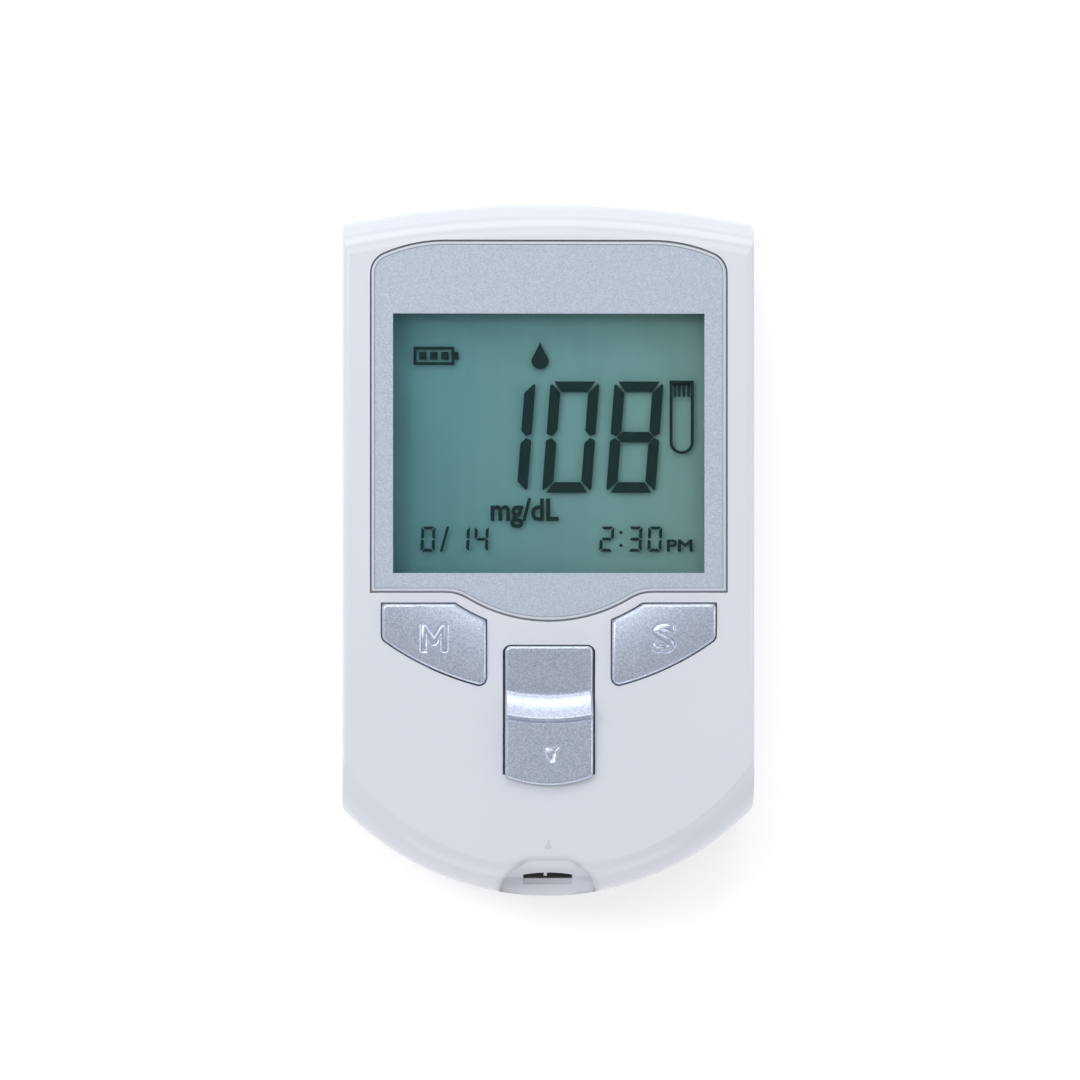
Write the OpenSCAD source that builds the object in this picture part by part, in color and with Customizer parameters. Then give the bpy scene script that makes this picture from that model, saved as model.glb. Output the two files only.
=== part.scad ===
// Hand-held blood test meter, lying on its back.
// X is to the right of the display, Y is toward the display's top end and Z comes out of it.

/* [Case] */
// Width of the case
body_w = 58; // [57:0.5:62]
// Length of the case along its middle
body_l = 97.8; // [96.5:0.1:103]
// Height of the front face above the table
face_z = 22; // [22:0.1:24]
// Radius of the top end, seen from the front
top_arc_r = 150; // [120:5:200]
// Radius of the strip end, seen from the front
end_arc_r = 40.2; // [39:0.1:44]
// Radius of the upright corners where the sides meet the ends
corner_r = 1.4; // [0.8:0.1:2.5]
// Rounding of the front edge along the sides
side_edge_r = 1; // [0.6:0.1:1.6]
// Rounding of the front edge along the top end
top_edge_r = 4.6; // [3:0.1:5]
// Rounding of the front edge along the strip end
end_edge_r = 6.5; // [5.5:0.1:6.8]
// Rounding of the rear edge
rear_edge_r = 3.6; // [2:0.1:4]
// Thickness of the side walls
wall = 2.2; // [2:0.1:2.6]
// Thickness of the front face
face_t = 2.4; // [2.3:0.05:2.6]
// Thickness of the rear face
rear_t = 1.6; // [1.5:0.05:2]
// Height of the joint between the two shells
seam_z = 11; // [9:0.1:12]
// Height of the lip that locates the front shell
lip_h = 1.2; // [0.8:0.1:1.6]
// Depth of the shadow line round the joint
seam_line = 0.3; // [0.1:0.05:0.5]

/* [Display] */
// Margin on each side of the silver window
window_side = 3.93; // [3.6:0.01:4.4]
// Margin between the top end and the window
window_head = 5.35; // [5.3:0.05:6.4]
// Straight part of the window's lower edge above the strip end
window_up = 43.03; // [42.7:0.01:43.3]
// Half width of the bulge in the window's lower edge
belly_half = 12.8; // [11:0.1:13.5]
// Drop of that bulge
belly_drop = 4.08; // [3.4:0.02:4.2]
// Margin of the silver film on each side of the display opening
view_side = 3.14; // [3.1:0.02:4.6]
// Margin of the silver film above the display opening
view_head = 10.25; // [10.2:0.05:12]
// Margin of the silver film below the display opening
view_low = 2.67; // [2.5:0.01:3.3]
// Thickness of the clear lens
lens_t = 1; // [0.8:0.05:1.1]
// Depth of the lens below the front face
lens_sink = 0.25; // [0.1:0.05:0.35]
// Thickness of the silver film
film_t = 0.2; // [0.1:0.05:0.3]
// Depth of the display glass behind the film
glass_depth = 2.15; // [2:0.05:2.3]
// Thickness of one display glass
glass_t = 0.8; // [0.7:0.05:0.9]
// Height of the gap between the rear glass and the board
pad_t = 1.4; // [1.2:0.05:1.5]

/* [Keys] */
// Margin between the side and a key
key_side = 5.53; // [5.4:0.01:7]
// Inner edge of a key from the middle
key_in = 8.87; // [8.8:0.01:10]
// Upper edge of the keys above the strip end
key_up = 41.38; // [40.9:0.01:41.6]
// Radius of the keys' lower edge
key_low_r = 39.6; // [39:0.1:40]
// Centre of that radius above the strip end
key_low_up = 68.31; // [67.9:0.01:68.9]
// Corner radius of a key
key_corner_r = 1; // [0.6:0.1:1.3]
// Height of the keys above the front face
key_proud = 0.7; // [0.5:0.1:1.2]
// Gap round a key
key_gap = 0.18; // [0.12:0.02:0.3]
// Width of the flange that keeps a key in
key_flange = 0.7; // [0.5:0.05:0.75]
// Travel of a key
key_travel = 0.5; // [0.3:0.05:0.6]

/* [Ejector] */
// Width of the thumb slider
slider_w = 12.34; // [11.5:0.02:12.6]
// Upper edge of the slider above the strip end
slider_up = 35.44; // [34.9:0.01:35.9]
// Lower tip of the slider above the strip end
slider_tip_up = 15.87; // [15.4:0.01:16.9]
// Crest of the thumb ridge above the strip end
crest_up = 25.3; // [24.9:0.1:26.4]
// Height of the thumb ridge above the front face
crest_h = 1.95; // [1.5:0.05:2.4]
// Gap on each side of the slider
slider_gap = 0.33; // [0.2:0.01:0.4]
// Travel of the slider
slider_travel = 5; // [4:0.1:5]
// Thickness of the carriage under the front face
carriage_t = 1.4; // [1.2:0.05:1.5]
// Wire of the return spring
spring_wire = 0.25; // [0.2:0.01:0.3]
// Outer diameter of the return spring
spring_d = 2.8; // [2.6:0.05:2.9]
// Turns of the return spring
spring_turns = 8; // [6:1:9]

/* [Strip port] */
// Radius of the scoop's round pocket at the wall that holds the slot
scoop_r = 6.1; // [5.8:0.05:6.4]
// Draft of the scoop's side wall, in degrees
scoop_draft = 25; // [18:1:30]
// Depth of the scoop's floor below the front face
scoop_deep = 5.6; // [5.4:0.05:5.8]
// Length of the scoop's floor in front of the slot
scoop_floor = 2.6; // [2.2:0.05:3]
// Lean of the wall that holds the slot, in degrees
scoop_lean = 27.8; // [22:0.2:30]
// Width of the strip slot
slot_w = 6.9; // [6.6:0.05:7.2]
// Height of the strip slot in its middle
slot_h = 1.75; // [1.6:0.05:1.9]
// Width of the short rib under the slot's roof
slot_rib = 0.46; // [0.3:0.02:0.6]

/* [Board] */
// Thickness of the circuit board
board_t = 1; // [0.8:0.05:1.1]
// Gap between the board and the side walls
board_gap = 1.6; // [1.2:0.1:2]
// Radius of a board screw
board_screw_r = 0.8; // [0.7:0.05:1]
// Radius of a case screw
case_screw_r = 1; // [0.9:0.05:1.2]

/* [Batteries] */
// Diameter of a battery
cell_d = 10.5; // [10:0.1:10.5]
// Room between the side of the case and the battery contacts
bay_side = 4.3; // [4.2:0.1:5.5]
// Distance between the battery centres
cell_pitch = 11; // [10.8:0.1:11.4]
// Middle of the two batteries above the middle of the case
cell_y = 15; // [13:0.5:16]
// Room at the sprung end of a battery
cell_spring = 4.1; // [3.4:0.1:4.2]
// Thickness of the compartment's walls
cell_wall = 1; // [0.8:0.05:1.2]
// Gap round the battery door
door_gap = 0.1; // [0.06:0.01:0.15]

/* [Feet] */
// Radius of a rubber foot
foot_r = 3; // [2.5:0.1:3.4]
// Height of the feet below the rear face
foot_h = 0.6; // [0.4:0.05:0.9]
// Depth of the pocket that holds a foot
foot_pocket = 0.4; // [0.3:0.05:0.6]

/* [Hidden] */

$fn = 64;
// Steps of the large arcs and of small pins in the preview
wide_fn = 240;
small_fn = 32;
// Reach of a cutting block, larger than the case
far = 130;
// Overlap of a cutter past the face it cuts, and of a rib into its wall
past = 1;
sink = 0.4;
// Smallest rounding left inside a thin corner
least_r = 0.4;

// Clearances
fit = 0.1;
screw_fit = 0.05;
slide_fit = 0.2;
seat_fit = 0.05;
room = 0.3;

// Case
half_w = body_w / 2;
y_top = body_l / 2;
y_end = -body_l / 2;
top_cy = y_top - top_arc_r;
end_cy = y_end + end_arc_r;
rear_z = foot_h;
floor_z = rear_z + rear_t;
face_in = face_z - face_t;

// Two faint creases of the front face: centre, radius and slope of each
crease_a_up = 74.1;
crease_b_up = 91.1;
crease_a = [y_end + crease_a_up, 46.7, 1];
crease_b = [y_end + crease_b_up, 78.2, 1.2];

// Layout of the face, as distances above and below the middle
window_w = body_w - 2 * window_side;
window_top = y_top - window_head;
window_foot = -(y_end + window_up);
view_w = window_w - 2 * view_side;
view_foot = window_foot - view_low;
view_h = window_top - view_head + view_foot;
key_out = half_w - key_side;
key_top = -(y_end + key_up);
key_low_y = y_end + key_low_up;
slider_top = -(y_end + slider_up);
slider_tip = -(y_end + slider_tip_up);
crest_at = -(y_end + crest_up);

// Window: its upper corners are two tangent arcs, and its lower edge a bulge with blends
corner_flat = 14.5;
corner_wide_r = 22;
corner_wide_share = 0.823;
corner_turn = asin((window_w / 2 - corner_flat) * corner_wide_share / corner_wide_r);
corner_x = corner_flat + corner_wide_r * sin(corner_turn);
corner_y = window_top - corner_wide_r * (1 - cos(corner_turn));
corner_tight_r = (window_w / 2 - corner_x) / (1 - sin(corner_turn));
belly_r = (pow(belly_half, 2) + pow(belly_drop, 2)) / (2 * belly_drop);
belly_cy = belly_r - window_foot - belly_drop;
belly_blend_r = 6;

// Display stack, from the front face down to the board
lens_top = face_z - lens_sink;
film_top = lens_top - lens_t;
ledge_z = film_top - film_t;
glass_top = ledge_z - glass_depth;
glass_mid = glass_top - glass_t;
glass_low = glass_mid - glass_t;
board_top = glass_low - pad_t;
board_low = board_top - board_t;
view_y0 = -view_foot;
view_y1 = view_h - view_foot;
glass_rim = 1.3;
glass_half = view_w / 2 + glass_rim;
glass_y0 = view_y0 - glass_rim;
glass_y1 = view_y1 + glass_rim;
contact_ledge = 3.4;
frame_wall = 1.2;
frame_half = glass_half + fit + frame_wall;
frame_y0 = glass_y0 - fit - frame_wall;
frame_y1 = glass_y1 + contact_ledge + fit + frame_wall * 0.7;
frame_rim = 0.65;
elastomer_w = 2.2;
elastomer_inset = 1.5;
pad_w = 3;

// Keys
key_flange_t = 1;
key_base = face_in - slide_fit - key_flange_t;
key_crown_r = 38;
key_crown_turn = 29;
key_crown_at = [-1, 1.4];
belly_to_key = 1.6;
switch_w = 5.2;
switch_h = 1.4;
plunger_r = 1.2;
plunger_h = 0.4;
switch_leg_w = 0.7;
switch_leg_at = 1.6;
stem_in = 1;
stem_down = 5.6;
// The switch and the stem sit where the key is widest
key_mid = [(key_out + key_in) / 2 - stem_in, -key_top - stem_down];
stem_r = 2.2;
stem_low = board_top + switch_h + plunger_h + key_travel + seat_fit;

// Ejector
slider_half = slider_w / 2;
slot_half = slider_half + slider_gap;
slot_top_gap = 0.16;
slot_foot_under = 1.03;
slot_top = slider_top - slot_top_gap;
slot_foot = slider_tip - slot_foot_under;
slot_foot_r = 47;
slot_foot_sag = slot_foot_r - sqrt(pow(slot_foot_r, 2) - pow(slot_half, 2));
plug_foot = slot_foot - slot_foot_sag - slider_travel - room;
slider_arc_r = 31;
slider_cy = slider_arc_r - crest_at;
tip_r = 15.8;
slider_corner_r = 0.8;
slot_corner_r = slider_corner_r + slider_gap;
slider_over = 0.1;
slider_edge_r = 0.5;
slider_edge_z = face_z + sink;
slider_head_h = 1.05;
slider_tail_h = 0.95;
hollow_run = 3.2;
hollow_foot = 0.12;
hollow_bend = 0.55;
crest_t = 0.6;
crest_ease = 0.08;
slider_plug_inset = 0.5;
carriage_side = 1.1;
carriage_half = slot_half + carriage_side;
carriage_top = face_in - slide_fit;
carriage_low = carriage_top - carriage_t;
carriage_y1 = -slot_top + slider_travel;
carriage_over = 2.4;
carriage_y0 = -slider_tip - carriage_over;
peg_r = 1.2;
peg_down = 2.6;
peg_y = [-slider_top - peg_down, -crest_at];
rail_t = 0.9;
rail_y0 = carriage_y0 - slider_travel + sink;
rail_hook = 0.8;
hook_t = 0.8;
hook_inset = 1;
ear_t = 1.2;
ear_down = 12.3;
ear_y = carriage_y1 - ear_down;
rail_y1 = ear_y - slider_travel - ear_t - hook_t;
spring_side = 0.7;
spring_x = carriage_half + rail_t + spring_d / 2 + spring_side;
spring_z = face_in - spring_d / 2 - room;
spring_y1 = ear_y - ear_t;
spring_l = 12.5;
spring_y0 = spring_y1 - spring_l;
post_t = 1.1;
spring_pin_l = 3;

// Strip port and connector
scoop_z = face_z - scoop_deep;
scoop_y = y_end + scoop_floor;
scoop_mid = 0.5;
scoop_wall = 1.6;
slot_sink = 0.25;
slot_lip = 0.9;
slot_rise = 0.6;
nose_t = 0.7;
nose_ahead = 0.06;
slot_floor = scoop_z - slot_sink;
well_y = scoop_y - nose_ahead;
slot_lip_y = scoop_y - slot_lip;
slot_side_h = slot_h - slot_rise;
slot_arc_r = (pow(slot_w / 2, 2) + pow(slot_h - slot_side_h, 2)) / (2 * (slot_h - slot_side_h));
strip_t = 0.8;
slot_rib_x = -0.36;
connector_side = 1.75;
connector_tall = 1.45;
connector_half = slot_w / 2 + connector_side;
connector_top = slot_floor + connector_tall;
connector_y0 = scoop_y + (connector_top - scoop_z) * tan(scoop_lean) + scoop_wall / cos(scoop_lean) + fit;
connector_l = 12.6;
connector_y1 = connector_y0 + connector_l;
tooth_down = 1.9;
tooth_y = connector_y1 - tooth_down;
tooth_half = 0.9;
tooth_l = 1;
tooth_room = 0.25;
tooth_over = 2.8;
blade_inset = 2;
blade_in = 1.9;
blade_out = 2.9;
blade_x = [-blade_out, -blade_in, blade_in, blade_out];
blade_w = 0.4;
blade_t = 0.2;

// Parts under the board
micro_up = 34.9;
micro_at = [0, y_end + micro_up];
micro_w = 10;
micro_pitch = 0.8;
micro_leads = 10;
memory_up = 31.9;
memory_x = 13;
memory_at = [memory_x, y_end + memory_up];
memory_w = 5;
memory_l = 4;
memory_pitch = 1.27;
memory_leads = 4;
chip_h = 1.4;
chip_gap = 0.1;
lead_t = 0.2;
lead_l = 0.9;
lead_share = 0.45;
crystal_up = 36.9;
crystal_x = -14;
crystal_at = [crystal_x, y_end + crystal_up];
crystal_r = 1;
crystal_l = 6;
crystal_wire_r = 0.15;
crystal_wire_l = 2;
capacitor_up = 25.9;
capacitor_x = -10;
capacitor_at = [capacitor_x, y_end + capacitor_up];
capacitor_pitch = 4;
capacitor_w = 0.8;

// Board
board_half = half_w - wall - board_gap;
board_draw = 0.9;
board_end_r = end_arc_r - wall - board_gap - board_draw;
board_top_r = top_arc_r - wall - board_gap - board_draw;
board_boss_r = 2.2;
board_screw_side = 11;
board_screw_up = 23.9;
board_screw_head = 7.1;
board_screw_at = [[-half_w + board_screw_side, y_end + board_screw_up],
                  [half_w - board_screw_side, y_end + board_screw_up], [0, y_top - board_screw_head]];
board_head_r = board_screw_r * 2;
board_head_h = 1.1;
board_screw_bite = 3;
post_r = 1.5;
post_side = 7.5;
post_up = 43.9;
post_x = 9;
post_head = 9.5;
post_at = [[-half_w + post_side, y_end + post_up], [half_w - post_side, y_end + post_up],
           [-post_x, y_top - post_head], [post_x, y_top - post_head]];

// Case screws
case_boss_t = 1.6;
case_boss_r = case_screw_r + case_boss_t;
upper_side = 5.4;
upper_head = 6.9;
lower_side = 6;
lower_up = 18.9;
upper_screw = [half_w - upper_side, y_top - upper_head];
lower_screw = [half_w - lower_side, y_end + lower_up];
case_head_r = case_screw_r * 1.9;
case_head_h = 1.5;
case_head_deep = 3.6;
case_head_z = rear_z + case_head_deep;
case_screw_l = 10;
case_screw_at = [[-upper_screw[0], upper_screw[1]], upper_screw,
                 [-lower_screw[0], lower_screw[1]], lower_screw];

// Batteries and their compartment
cell_r = cell_d / 2;
cell_z = floor_z + room + cell_r;
nub_r = 1.9;
nub_l = 1;
contact_t = 0.4;
bay_half = half_w - bay_side;
cell_l = 2 * (bay_half - contact_t) - cell_spring;
bay_end = bay_half + room / 2;
bay_y0 = cell_y - cell_pitch / 2 - cell_r - room;
bay_y1 = cell_y + cell_pitch / 2 + cell_r + room;
bay_top = cell_z + cell_r + room / 2;
bay_roof = 0.75;
saddle_x = 12;
saddle_t = 1.2;
saddle_up = 1.6;
saddle_z = cell_z + saddle_up;
contact_w = 7;
cell_coil_r = 2.8;
cell_coil_wire = 0.5;
cell_coil_turns = 3;
cell_coil_taper = 1;

// Battery door: it tilts out about its lower edge, on two tabs
door_half = bay_end - room;
door_ledge = 1.2;
door_step = 1;
tab_x = 11;
tab_w = 6;
tab_t = 0.8;
tab_l = 1.5;
tab_up = 0.12;
tab_z = floor_z + tab_up;
tab_room = 0.7;
tongue_half = 5;
tongue_h = 2;
tongue_t = 0.7;
tongue_inset = 0.45;
grip_r = 6;
grip_share = 0.35;
rib_first = 3;
rib_pitch = 1.3;
rib_w = 0.5;
rib_deep = 0.25;

// Feet
foot_side = 8.5;
foot_head = 14.4;
low_foot_side = 12.5;
low_foot_up = 13.9;
foot_at = [[-half_w + foot_side, y_top - foot_head], [half_w - foot_side, y_top - foot_head],
           [-half_w + low_foot_side, y_end + low_foot_up], [half_w - low_foot_side, y_end + low_foot_up]];

// Sound holes
buzzer_up = 15.9;
buzzer_x = -12.5;
buzzer_at = [buzzer_x, y_end + buzzer_up];
buzzer_r = 4.5;
buzzer_h = 3.2;
sound_r = 0.6;
sound_ring_r = 2.4;
buzzer_hole_r = 1;
buzzer_wall = 0.8;

white = "#f1f3f8";
silver = "#b3bbc8";
clear = [0.85, 0.92, 0.95, 0.35];
steel = "#c9ccd0";

// Section between two heights with a low and a high corner radius on each side
module slab_2d(half, z0, z1, r_low, r_high) {
    translate([-half + r_low, z0])
        square([2 * (half - r_low), r_low]);
    translate([-half, z0 + r_low])
        square([2 * half, z1 - z0 - r_low - r_high]);
    translate([-half + r_high, z1 - r_high])
        square([2 * (half - r_high), r_high]);
    for (s = [-1, 1]) {
        translate([s * (half - r_low), z0 + r_low])
            circle(r_low);
        translate([s * (half - r_high), z1 - r_high])
            circle(r_high);
    }
}

// Disc with rounded rims, made as a revolve
module disc(reach, z0, z1, r_low, r_high) {
    rotate_extrude($fn = wide_fn)
        intersection() {
            slab_2d(reach, z0, z1, r_low, r_high);
            translate([0, z0 - past])
                square([reach + past, z1 - z0 + 2 * past]);
        }
}

// Everything between two heights
module layer(z0, z1) {
    translate([-far / 2, -far / 2, z0])
        cube([far, far, z1 - z0]);
}

// Form of the case, drawn in by s at the sides, f at the face and r at the rear
module case_form(s, f, r) {
    z0 = rear_z + r;
    z1 = face_z - f;
    low_r = max(rear_edge_r - max(s, r), least_r);
    inside_w = half_w - s;
    intersection() {
        rotate([90, 0, 0])
            linear_extrude(far, center = true)
                slab_2d(inside_w, z0, z1, low_r, max(side_edge_r - max(s, f), least_r));
        translate([0, top_cy, 0])
            disc(top_arc_r - s, z0, z1, low_r, max(top_edge_r - max(s, f), least_r));
        union() {
            translate([0, end_cy, 0])
                disc(end_arc_r - s, z0, z1, low_r, max(end_edge_r - max(s, f), least_r));
            translate([-inside_w - sink, end_cy, z0])
                cube([2 * (inside_w + sink), far / 2, z1 - z0]);
        }
    }
}

// Waste outside a fillet of radius r, between the upright line at x and a circle about [0, cy]
module corner_waste(x, cy, cr, r, up) {
    fx = x - sign(x) * r;
    reach = cr - r;
    fy = cy + up * sqrt(pow(reach, 2) - pow(fx, 2));
    out = [fx, fy - cy] / reach;
    kite = r / (1 + abs(out[0]));
    tip = [x, fy + kite * out[1]];
    difference() {
        polygon([[fx, fy], [x, fy], [x + sign(x) * past, fy],
                 tip + [sign(x) * past, up * past], [fx, fy] + out * (r + past)]);
        translate([fx, fy])
            circle(r);
    }
}

module case_corners() {
    for (s = [-1, 1]) {
        corner_waste(s * half_w, end_cy, end_arc_r, corner_r, -1);
        corner_waste(s * half_w, top_cy, top_arc_r, corner_r, 1);
    }
}

module outer_case() {
    difference() {
        case_form(0, 0, 0);
        linear_extrude(far, center = true)
            case_corners();
    }
}

module cavity() {
    case_form(wall, face_t, rear_t);
}

// Outline of the window, grown by g
module window_2d(g) {
    half = window_w / 2 + g;
    blend_reach = belly_r + belly_blend_r;
    blend_low = belly_blend_r + window_foot;
    blend_x = sqrt(pow(blend_reach, 2) - pow(belly_cy + blend_low, 2));
    touch = [0, belly_cy] + (belly_r + g) * [blend_x, -blend_low - belly_cy] / blend_reach;
    tight_y = corner_y - corner_tight_r * cos(corner_turn);
    translate([-corner_flat, -window_foot - g])
        square([2 * corner_flat, window_top + window_foot + 2 * g]);
    translate([-half, -window_foot - g])
        square([2 * half, tight_y + window_foot + g]);
    for (s = [-1, 1]) {
        intersection() {
            translate([s * corner_flat, window_top - corner_wide_r])
                circle(corner_wide_r + g, $fn = wide_fn);
            translate([s > 0 ? corner_flat - sink : -corner_x, 0])
                square([corner_x - corner_flat + sink, window_top + past]);
        }
        translate([s * (window_w / 2 - corner_tight_r), tight_y])
            circle(corner_tight_r + g);
    }
    difference() {
        translate([-blend_x, touch[1]])
            square([2 * blend_x, sink - window_foot - touch[1]]);
        for (s = [-1, 1])
            translate([s * blend_x, -blend_low])
                circle(belly_blend_r - g);
    }
    intersection() {
        translate([0, belly_cy])
            circle(belly_r + g, $fn = wide_fn);
        translate([-touch[0], -window_foot - belly_drop - past])
            square([2 * touch[0], window_foot + belly_drop + past + touch[1] + sink]);
    }
}

module view_2d(g) {
    translate([-view_w / 2 - g, view_y0 - g])
        square([view_w + 2 * g, view_h + 2 * g]);
}

// Outline of the right-hand key, grown by g
module key_2d(g) {
    difference() {
        intersection() {
            translate([key_in - g, -far / 2])
                square([key_out - key_in + 2 * g, far / 2 - key_top + g]);
            translate([0, key_low_y])
                circle(key_low_r + g, $fn = wide_fn);
        }
        translate([0, belly_cy])
            circle(belly_r + belly_to_key - g, $fn = wide_fn);
        key_corner(key_out + g, key_corner_r + g);
        key_inner_corner(key_in - g, key_corner_r + g);
    }
}

module key_corner(x, r) {
    corner_waste(x, key_low_y, key_low_r + r - key_corner_r, r, -1);
}

// The inner corner lies on the near side of its upright line
module key_inner_corner(x, r) {
    reach = key_low_r - key_corner_r;
    fx = x + r;
    fy = key_low_y - sqrt(pow(reach, 2) - pow(fx, 2));
    out = [fx, fy - key_low_y] / reach;
    difference() {
        polygon([[fx, fy], [x - past, fy], [x - past, fy - r - past],
                 [fx, fy - r - past], [fx, fy] + out * (r + past)]);
        translate([fx, fy])
            circle(r);
    }
}

// Outline of the slider's opening and of the slider, with its rounded upper corners
module slider_2d(half, top, foot_y, foot_r, corner) {
    intersection() {
        union() {
            translate([-half, -far / 2])
                square([2 * half, far / 2 - top - corner]);
            translate([-half + corner, -far / 2])
                square([2 * (half - corner), far / 2 - top]);
            for (s = [-1, 1])
                translate([s * (half - corner), -top - corner])
                    circle(corner, $fn = small_fn);
        }
        translate([0, -foot_y + foot_r])
            circle(foot_r, $fn = wide_fn);
    }
}

// Half of the pocket's section, with the wall at the bottom and grown by g
module pocket_2d(g) {
    tall = 4 * scoop_r;
    translate([0, -g])
        polygon([[0, 0], [scoop_r + g, 0], [scoop_r + g + tall * tan(scoop_draft), tall], [0, tall]]);
}

// Round pocket sunk square to the leaning wall, down to the floor, and grown by g
module scoop(g) {
    intersection() {
        layer(scoop_z - g, far);
        translate([0, scoop_y, scoop_z])
            rotate([90 - scoop_lean, 0, 0])
                translate([0, scoop_mid, 0])
                    rotate_extrude($fn = wide_fn)
                        pocket_2d(g);
    }
}

// Strip slot with its arched roof, less the short rib that hangs from the roof,
// and the well in its floor for the connector's nose
module strip_slot() {
    translate([0, (well_y + connector_y0 + past) / 2, 0])
        slab_block(slot_w, connector_y0 + past - well_y, slot_floor - nose_t - fit, slot_floor + sink);
    translate([0, connector_y0 + past, 0])
        rotate([90, 0, 0])
            linear_extrude(connector_y0 + past - slot_lip_y)
                difference() {
                    intersection() {
                        translate([-slot_w / 2, slot_floor])
                            square([slot_w, slot_h + past]);
                        translate([0, slot_floor + slot_h - slot_arc_r])
                            circle(slot_arc_r, $fn = wide_fn);
                    }
                    translate([slot_rib_x - slot_rib / 2, slot_floor + strip_t])
                        square([slot_rib, slot_h]);
                }
}

module crease(c) {
    fall = far / 2;
    translate([0, c[0], 0])
        rotate_extrude($fn = wide_fn)
            polygon([[c[1], face_z], [c[1] + fall, face_z - fall * tan(c[2])],
                     [c[1] + fall, face_z + past], [c[1], face_z + past]]);
}

module at(places, z) {
    for (p = places)
        translate([p[0], p[1], z])
            children();
}

// Hooks that hold the ejector carriage, and the post that the spring pushes on
module ejector_guides() {
    hook_top = carriage_low - slide_fit;
    for (s = [-1, 1]) {
        translate([s * (carriage_half + fit + rail_t / 2), (rail_y0 + rail_y1) / 2, 0])
            slab_block(rail_t, rail_y1 - rail_y0, hook_top - hook_t, face_in + sink);
        translate([s * (carriage_half + fit + (rail_t - rail_hook) / 2), (rail_y0 + rail_y1) / 2, 0])
            slab_block(rail_t + rail_hook, rail_y1 - rail_y0 - 2 * hook_inset, hook_top - hook_t, hook_top);
    }
    translate([spring_x, spring_y0 - post_t / 2, 0])
        slab_block(spring_d + sink, post_t, spring_z - spring_d / 2, face_in + sink);
    translate([spring_x, spring_y0 - sink, spring_z])
        rotate([-90, 0, 0])
            cylinder(r = spring_d / 2 - spring_wire - slide_fit, h = spring_pin_l, $fn = small_fn);
}

// Block of a given width and length about the origin, between two heights
module slab_block(w, l, z0, z1) {
    translate([-w / 2, -l / 2, z0])
        cube([w, l, z1 - z0]);
}

module front_housing() {
    color(white)
    difference() {
        union() {
            difference() {
                intersection() {
                    outer_case();
                    layer(seam_z, far);
                }
                cavity();
                intersection() {
                    case_form(wall / 2 - fit / 2, 0, 0);
                    layer(0, seam_z + lip_h + fit);
                }
            }
            intersection() {
                case_form(wall / 2, face_t / 2, 0);
                union() {
                    scoop(scoop_wall);
                    at(case_screw_at, seam_z + fit)
                        cylinder(r = case_boss_r, h = face_in + sink - seam_z - fit);
                    at(board_screw_at, board_top)
                        cylinder(r = board_boss_r, h = face_in + sink - board_top);
                    ejector_guides();
                }
            }
        }
        translate([0, 0, ledge_z])
            linear_extrude(far)
                window_2d(fit);
        linear_extrude(far)
            view_2d(glass_rim / 2);
        translate([0, 0, face_in - past])
            linear_extrude(far)
                for (s = [0, 1])
                    mirror([s, 0])
                        key_2d(key_gap);
        translate([0, 0, face_in - past])
            linear_extrude(far)
                slider_2d(slot_half, slot_top, slot_foot, slot_foot_r, slot_corner_r);
        scoop(0);
        strip_slot();
        crease(crease_a);
        crease(crease_b);
        at(case_screw_at, 0)
            cylinder(r = case_screw_r + screw_fit, h = case_head_z + case_head_h + case_screw_l + fit);
        at(board_screw_at, 0)
            cylinder(r = board_screw_r + screw_fit, h = face_in - room);
    }
}

// Compartment walls and roof, with saddles that take the batteries' round sides
module battery_bay() {
    difference() {
        translate([-bay_end - cell_wall, bay_y0 - cell_wall, rear_z + rear_t / 2])
            cube([2 * (bay_end + cell_wall), bay_y1 - bay_y0 + 2 * cell_wall,
                  bay_top + bay_roof - rear_z - rear_t / 2]);
        translate([-bay_end, bay_y0, rear_z])
            cube([2 * bay_end, bay_y1 - bay_y0, bay_top - rear_z]);
    }
    difference() {
        union() {
            for (s = [-1, 1])
                translate([s * saddle_x, (bay_y0 + bay_y1) / 2, 0])
                    slab_block(saddle_t, bay_y1 - bay_y0 + sink, saddle_z, bay_top + sink);
        }
        cell_pair(fit * 2);
    }
}

// The space of the two batteries, grown by g
module cell_pair(g) {
    for (s = [-1, 1])
        translate([-bay_half, cell_y + s * cell_pitch / 2, cell_z])
            rotate([0, 90, 0])
                cylinder(r = cell_r + g, h = 2 * bay_half);
}

module door_opening() {
    translate([0, cell_y, 0]) {
        slab_block(2 * (door_half + door_gap), bay_y1 - bay_y0, rear_z - past,
                   rear_z + door_step + door_gap);
        slab_block(2 * (door_half - door_ledge), bay_y1 - bay_y0, rear_z - past, floor_z + past);
    }
}

module tab_windows() {
    for (s = [-1, 1])
        translate([s * tab_x, bay_y0, 0])
            slab_block(tab_w + 2 * room, 2 * cell_wall + 2 * past, floor_z, tab_z + tab_t + tab_room);
}

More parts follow.
